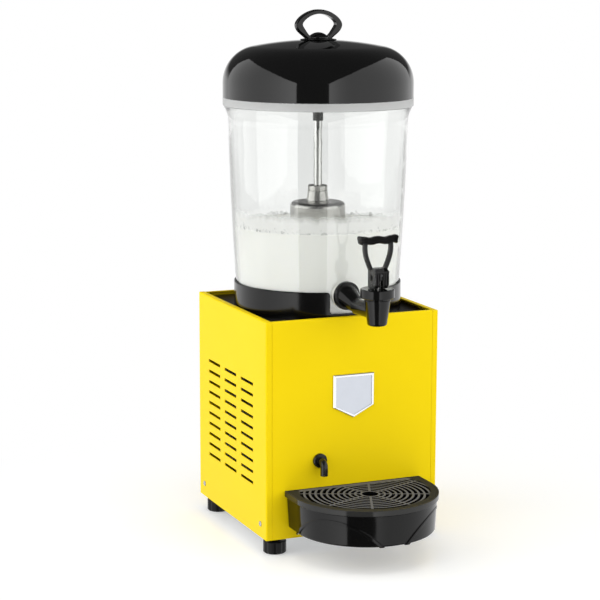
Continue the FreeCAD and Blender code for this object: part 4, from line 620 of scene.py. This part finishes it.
def headHeight(screw, x, y, share):
    # a low dome; the recess has steep flanks, and its floor rises towards the ends of the cross
    height = screw["rim"] + (screw["headHeight"] - screw["rim"]) * (1 - share ** screw["dome"])
    reach = max(abs(x), abs(y)) / screw["recessReach"]
    off = min(abs(x), abs(y)) / screw["recessWidth"]
    if reach < 1:
        height -= screw["recessDepth"] * max(0.0, 1 - off ** 4) * (1 - reach ** 3)
    return height


def crossHeadScrews(screw, places):
    # pan heads with a driven cross recess, each turned a little differently
    form = bmesh.new()
    rings, segments = screw["rings"], screw["segments"]
    for number, (spot, outward) in enumerate(places):
        turn = Vector((0, 0, 1)).rotation_difference(Vector(outward)).to_matrix()
        turn = turn @ Matrix.Rotation(screw["firstTurn"] + screw["nextTurn"] * number, 3, "Z")
        place = Matrix.Translation(Vector(spot) * mm) @ turn.to_4x4()
        rows = []
        for row in range(rings + 1):
            radius = screw["headRadius"] * row / rings
            ring = []
            for step in range(segments if row else 1):
                angle = 2 * math.pi * step / segments
                x, y = radius * math.cos(angle), radius * math.sin(angle)
                ring.append(form.verts.new(place @ Vector((x, y, headHeight(screw, x, y, row / rings)))))
            rows.append(ring)
        for inner, outer in zip(rows, rows[1:]):
            for step in range(segments):
                following = (step + 1) % segments
                form.faces.new(distinct([inner[step % len(inner)], outer[step], outer[following],
                                         inner[following % len(inner)]]))
        lathe(form, [(0, -screw["shankLength"]), (screw["shankRadius"], -screw["shankLength"]),
                     (screw["shankRadius"], 0), (screw["headRadius"], 0),
                     (screw["headRadius"], screw["rim"])], place, segments)
    bmesh.ops.remove_doubles(form, verts=form.verts, dist=1e-6)
    bmesh.ops.recalc_face_normals(form, faces=form.faces)
    piece = addPiece("crossHeadScrews", form, looks["brightZinc"], "cabinet")
    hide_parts("panel_screws")


crossHeadScrews(crossScrew, screwPlaces)
print("screws done")


def sweep(form, path, section):
    # path: points with an in-plane normal and a scale; section: outline in (normal, depth); ends are closed
    rings = []
    for centre, normal, scale in path:
        rings.append([form.verts.new(centre + normal * (a * scale) + Vector((0, b * scale, 0)))
                      for a, b in section])
    for lower, upper in zip(rings, rings[1:]):
        for step in range(len(section)):
            following = (step + 1) % len(section)
            form.faces.new([lower[step], lower[following], upper[following], upper[step]])
    form.faces.new(list(reversed(rings[0])))
    form.faces.new(rings[-1])


def smoothPath(points, steps):
    # Catmull-Rom curve through points in X and Z, with its direction at each step
    ends = [[2 * a - b for a, b in zip(points[0], points[1])]] + [list(p) for p in points]
    ends.append([2 * a - b for a, b in zip(points[-1], points[-2])])
    curve = []
    for i in range(1, len(ends) - 2):
        for step in range(steps + (i == len(ends) - 3)):
            t = step / steps
            spot, way = [], []
            for p0, p1, p2, p3 in zip(*ends[i - 1:i + 3]):
                spot.append(0.5 * (2 * p1 + (p2 - p0) * t + (2 * p0 - 5 * p1 + 4 * p2 - p3) * t * t
                                   + (3 * p1 - p0 - 3 * p2 + p3) * t ** 3))
                way.append(0.5 * ((p2 - p0) + 2 * (2 * p0 - 5 * p1 + 4 * p2 - p3) * t
                                  + 3 * (3 * p1 - p0 - 3 * p2 + p3) * t * t))
            curve.append((spot, way))
    return curve


def extrude(form, outline, low, high):
    # outline in Y and Z, taken from low to high along X
    near = [form.verts.new((low, u, v)) for u, v in outline]
    far = [form.verts.new((high, u, v)) for u, v in outline]
    form.faces.new(near)
    form.faces.new(list(reversed(far)))
    for step in range(len(outline)):
        following = (step + 1) % len(outline)
        form.faces.new([near[following], near[step], far[step], far[following]])


def ribbedOutline(halfHeight, halfDepth, corner, ribs, ribDepth):
    # rounded rectangle whose front and back faces carry lengthwise ribs
    points = []
    steps = 30
    for side in (-1, 1):
        for i in range(steps + 1):
            a = side * halfHeight * (2 * i / steps - 1)
            edge = max(0.0, (abs(a) - (halfHeight - corner)) / corner)
            depth = halfDepth - corner * (1 - math.sqrt(max(0.0, 1 - edge * edge)))
            depth -= ribDepth * (0.5 + 0.5 * math.cos(math.pi * ribs * (a / halfHeight + 1)))
            points.append((a * mm, side * -depth * mm))
    return points


def smoothByAngle(piece, degrees):
    # shade smooth, with edges sharper than this kept crisp
    mesh = piece.data
    for face in mesh.polygons:
        face.use_smooth = True
    mesh.set_sharp_from_angle(angle=math.radians(degrees))


# millimetres from the pin, in X and Z for the bar and arms, in Y and Z for the hub's outlines;
# the sections give half height, half depth, corner radius, number of ribs and their depth
lever = {
    "pin": Vector((0, -129.5, 371.7)),
    "barCentre": 47.2, "barHalf": 27.0, "barSteps": 48, "barSection": (4.6, 5.9, 1.8, 3, 1.4),
    "waves": 2.6 * math.pi, "waveHeight": 0.72, "endRise": 0.4,
    "knobSwell": 0.20, "knobAt": 0.91, "knobSpread": 0.09,
    "endFrom": 0.90, "endReach": 0.10, "endLeast": 0.12,
    "arm": [(17.6, 44.5), (17.8, 36.5), (16.6, 28.5), (13.8, 20.0), (10.0, 11.0)],
    "armSteps": 8, "armSection": (2.5, 4.3, 1.0, 2, 0.9),
    "hubHalf": 9.5, "forkGap": 3.95,
    "crown": [(-12.2, 6.6), (-14.3, 7.6), (-14.3, 9.2), (-6.0, 12.0), (5.5, 12.0), (8.4, 9.0)],
    "cheek": [(8.4, -13.4), (-6.5, -13.4), (-10.2, -12.2), (-12.2, -9.0)],
    "webFoot": [(-8.1, -1.9), (-12.2, -1.9)], "webBack": [(8.4, 8.2), (-8.1, 8.2)],
    "ribs": (-8.7, -5.4, -2.4, 2.4, 5.4, 8.7), "ribWidth": 1.5, "shortRibs": 4.75, "shortRibFoot": -1.7,
    "rib": [(-12.0, -8.8), (-13.6, -8.0), (-14.2, -2.0), (-13.6, 7.2), (-12.0, 7.2)],
    "dotRadius": 1.35, "dotAt": (-12.2, 4.0), "dotSquash": (1, 0.5, 1.25, 1), "crispAngle": 35,
}


def leverBar(look):
    # wavy along its length, swollen to a knob near each end, and drawn in over the last tenth
    path = []
    for step in range(look["barSteps"] + 1):
        u = -1 + 2 * step / look["barSteps"]
        phase = look["waves"] * u
        height = look["waveHeight"] * math.cos(phase) + look["endRise"] * u * u
        slope = 2 * look["endRise"] * u - look["waveHeight"] * look["waves"] * math.sin(phase)
        knob = 1 + look["knobSwell"] * math.exp(-((abs(u) - look["knobAt"]) / look["knobSpread"]) ** 2)
        drawnIn = max(0.0, (abs(u) - look["endFrom"]) / look["endReach"])
        knob *= math.sqrt(max(look["endLeast"], 1 - drawnIn ** 2))
        centre = look["pin"] + Vector((u * look["barHalf"], 0, look["barCentre"] + height))
        path.append((centre * mm, Vector((-slope / look["barHalf"], 0, 1)).normalized(), knob))
    return path


def tapLever(look):
    # loop handle: wavy ribbed bar with knobbed ends, two ridged arms, and a ribbed hub that holds the pin
    form = bmesh.new()
    pin = look["pin"]
    sweep(form, leverBar(look), ribbedOutline(*look["barSection"]))
    for side in (-1, 1):
        arm = []
        for (x, z), (dx, dz) in smoothPath([(side * x, z) for x, z in look["arm"]], look["armSteps"]):
            normal = Vector((-dz, 0, dx)).normalized()
            arm.append(((pin + Vector((x, 0, z))) * mm, normal, 1.0))
        sweep(form, arm, ribbedOutline(*look["armSection"]))
    # the cheeks straddle the stem; the web joins them above it, under a sloping ledge
    gap, half = look["forkGap"], look["hubHalf"]
    cheek = look["cheek"] + look["crown"]
    web = look["webFoot"] + look["crown"] + look["webBack"]
    slabs = [(cheek, -half, -gap), (cheek, gap, half), (web, -gap, gap)]
    # upright ribs on the front of the hub, from its foot to the ledge; those over the fork's gap are short
    for x in look["ribs"]:
        foot = look["shortRibFoot"] if abs(x) < look["shortRibs"] else look["rib"][0][1]
        rib = [(y, max(z, foot)) for y, z in look["rib"]]
        slabs.append((rib, x - look["ribWidth"] / 2, x + look["ribWidth"] / 2))
    for outline, low, high in slabs:
        extrude(form, [((pin.y + y) * mm, (pin.z + z) * mm) for y, z in outline], low * mm, high * mm)
    piece = addPiece("tapLoopLever", form, looks["leverBlack"], "lever", False)
    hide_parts("tap_lever")
    smoothByAngle(piece, look["crispAngle"])
    # a small pale grey dome on the front of the hub
    paleDotForm = bmesh.new()
    spot = Matrix.Translation((pin + Vector((0, *look["dotAt"]))) * mm) @ Matrix.Diagonal(look["dotSquash"])
    bmesh.ops.create_uvsphere(paleDotForm, u_segments=20, v_segments=12, radius=look["dotRadius"] * mm, matrix=spot)
    addPiece("leverPaleDot", paleDotForm, looks["greyMoulding"], "lever")


tapLever(lever)
print("lever done")


def bubbleSkin():
    # bubble skins: see-through in the middle, with a pale ring where the skin is seen edge-on
    look = {"skin": "E9EAE7", "middle": 0.10, "ring": 0.80, "swirl": 0.8 * mm, "relief": (0.1, 0.1 * mm)}
    material, tree, shader, coords = newMaterial("bubbleSkin", look["skin"], 0.10, IOR=1.33)
    edge = addNode(tree, "LayerWeight", {"Blend": 0.35})
    cover = addNode(tree, "MapRange", {"interpolation_type": "SMOOTHSTEP", "From Min": 0.25, "From Max": 0.75,
                                       "To Min": look["middle"], "To Max": look["ring"]},
                    {"Value": edge.outputs["Facing"]})
    swirl = addNode(tree, "TexNoise", {"Scale": 1 / look["swirl"]}, {"Vector": coords})
    addBump(tree, shader, look["relief"], swirl.outputs["Fac"])
    tree.links.new(cover.outputs["Result"], shader.inputs["Alpha"])
    return material


# sunk and afloat: how far a bubble's middle may stand below and above the level, in its own radii
froth = {
    "level": 415.8 * mm, "wallRadius": 110.9 * mm, "bellRadius": 37.3 * mm,
    "smallest": 0.5 * mm, "largest": 3.0 * mm, "coarseBelow": 0.9 * mm,
    "wallBubbles": 900, "wallSpread": 9 * mm,
    "clusters": 26, "clusterSide": -math.pi / 2 - 0.35, "clusterFan": 0.8,
    "clusterBubbles": 18, "clusterAngle": 0.045, "clusterDepth": 2.5 * mm,
    "bellBubbles": 150, "bellShare": 0.8, "bellSpread": 6 * mm,
    "sunk": -0.2, "afloat": 0.5, "clingWithin": 1.5 * mm, "cling": 2.2 * mm,
}


def bubbleSize(look, power, share=1.0):
    # the higher the power, the rarer the large ones
    return look["smallest"] + (look["largest"] - look["smallest"]) * share * random.random() ** power


def frothOnDrink(look):
    # bubbles along the wall and round the bell, with denser clusters towards the front
    form = bmesh.new()
    spots = []
    for number in range(look["wallBubbles"]):
        angle = random.uniform(0, 2 * math.pi)
        size = bubbleSize(look, 3)
        spots.append((angle, look["wallRadius"] - size - random.random() ** 2 * look["wallSpread"], size))
    for cluster in range(look["clusters"]):
        heart = random.gauss(look["clusterSide"], look["clusterFan"])
        for number in range(look["clusterBubbles"]):
            size = bubbleSize(look, 2)
            angle = heart + random.gauss(0, look["clusterAngle"])
            inwards = abs(random.gauss(0, look["clusterDepth"]))
            spots.append((angle, look["wallRadius"] - size - inwards, size))
    for number in range(look["bellBubbles"]):
        size = bubbleSize(look, 2, look["bellShare"])
        angle = random.uniform(0, 2 * math.pi)
        spots.append((angle, look["bellRadius"] + size + random.random() ** 2 * look["bellSpread"], size))
    for angle, radius, size in spots:
        place = bowlMiddle + Vector((radius * math.cos(angle), radius * math.sin(angle), 0))
        place.z = look["level"] + size * random.uniform(look["sunk"], look["afloat"])
        # those that touch the wall cling a little higher
        if radius + size > look["wallRadius"] - look["clingWithin"]:
            place.z += abs(random.gauss(0, look["cling"]))
        bmesh.ops.create_icosphere(form, subdivisions=1 if size < look["coarseBelow"] else 2, radius=size,
                                   matrix=Matrix.Translation(place))
    addPiece("frothOnDrink", form, bubbleSkin(), "bowl")


frothOnDrink(froth)
print("froth done")


# heights and radii in millimetres; side: the direction in which the film lies, from the bowl's axis
wetFilm = {
    "foot": 415.6, "dense": 429.0, "clear": 443.0, "top": 446.0, "footRadius": 109.6, "topRadius": 110.8,
    "rows": 12, "segments": 128, "milk": "FDFDFB", "density": 0.94, "through": 0.2, "glow": 0.17,
    "runs": (90, 90, 22), "ragged": 2.2, "side": (-0.39, -0.92, 0), "sideBlur": (-12, 4),
}


def milkFilm(look):
    # the thin milky film that the moving drink leaves on the wall above its surface, thinner upwards
    material, tree, shader, coords = newMaterial("milkFilm", look["milk"], 0.30)
    parts = addNode(tree, "SeparateXYZ", links={"Vector": coords})
    runs = addNode(tree, "VectorMath", {"operation": "MULTIPLY", 1: look["runs"]}, {0: coords})
    ragged = addNode(tree, "TexNoise", {"Scale": 1.0, "Detail": 3.0}, {"Vector": runs.outputs["Vector"]})
    rise = addNode(tree, "MapRange", {"From Min": 0.3, "From Max": 0.7, "To Min": -look["ragged"] * mm,
                                      "To Max": look["ragged"] * mm}, {"Value": ragged.outputs["Fac"]})
    height = addNode(tree, "Math", {"operation": "ADD"}, {0: parts.outputs["Z"], 1: rise.outputs["Result"]})
    cover = addNode(tree, "MapRange", {"interpolation_type": "SMOOTHSTEP", "From Min": look["dense"] * mm,
                                       "From Max": look["clear"] * mm, "To Min": look["density"],
                                       "To Max": 0.0}, {"Value": height.outputs[0]})
    # it clings to the half of the wall where the drink swirls up; the far half is clear
    place = addNode(tree, "VectorMath", {"operation": "SUBTRACT", 1: bowlMiddle}, {0: coords})
    swirl = addNode(tree, "VectorMath", {"operation": "DOT_PRODUCT", 1: look["side"]},
                    {0: place.outputs["Vector"]})
    far, near = look["sideBlur"]
    front = addNode(tree, "MapRange", {"interpolation_type": "SMOOTHSTEP", "From Min": far * mm,
                                       "From Max": near * mm}, {"Value": swirl.outputs["Value"]})
    cover = addNode(tree, "Math", {"operation": "MULTIPLY"},
                    {0: cover.outputs["Result"], 1: front.outputs["Result"]})
    # painted glow: the film gives off a little light of its own, in the milk's colour
    shader.inputs["Emission Color"].default_value = toLinear(look["milk"])
    shader.inputs["Emission Strength"].default_value = look["glow"]
    # light comes through the film from behind
    glowing = addNode(tree, "BsdfTranslucent", {"Color": toLinear(look["milk"])})
    clear = addNode(tree, "BsdfTransparent")
    body = addNode(tree, "MixShader", {0: look["through"]},
                   {1: shader.outputs["BSDF"], 2: glowing.outputs["BSDF"]})
    film = addNode(tree, "MixShader", links={0: cover.outputs[0], 1: clear.outputs["BSDF"],
                                             2: body.outputs["Shader"]})
    tree.links.new(film.outputs["Shader"], tree.nodes["Material Output"].inputs["Surface"])
    form = bmesh.new()
    profile = []
    for row in range(look["rows"] + 1):
        t = row / look["rows"]
        profile.append(((look["footRadius"] + (look["topRadius"] - look["footRadius"]) * t) * mm,
                        (look["foot"] + (look["top"] - look["foot"]) * t) * mm))
    lathe(form, profile, Matrix.Translation(bowlMiddle), look["segments"])
    addPiece("milkFilmOnWall", form, material, "bowl")


milkFilm(wetFilm)
print("film done, all pieces are in place")
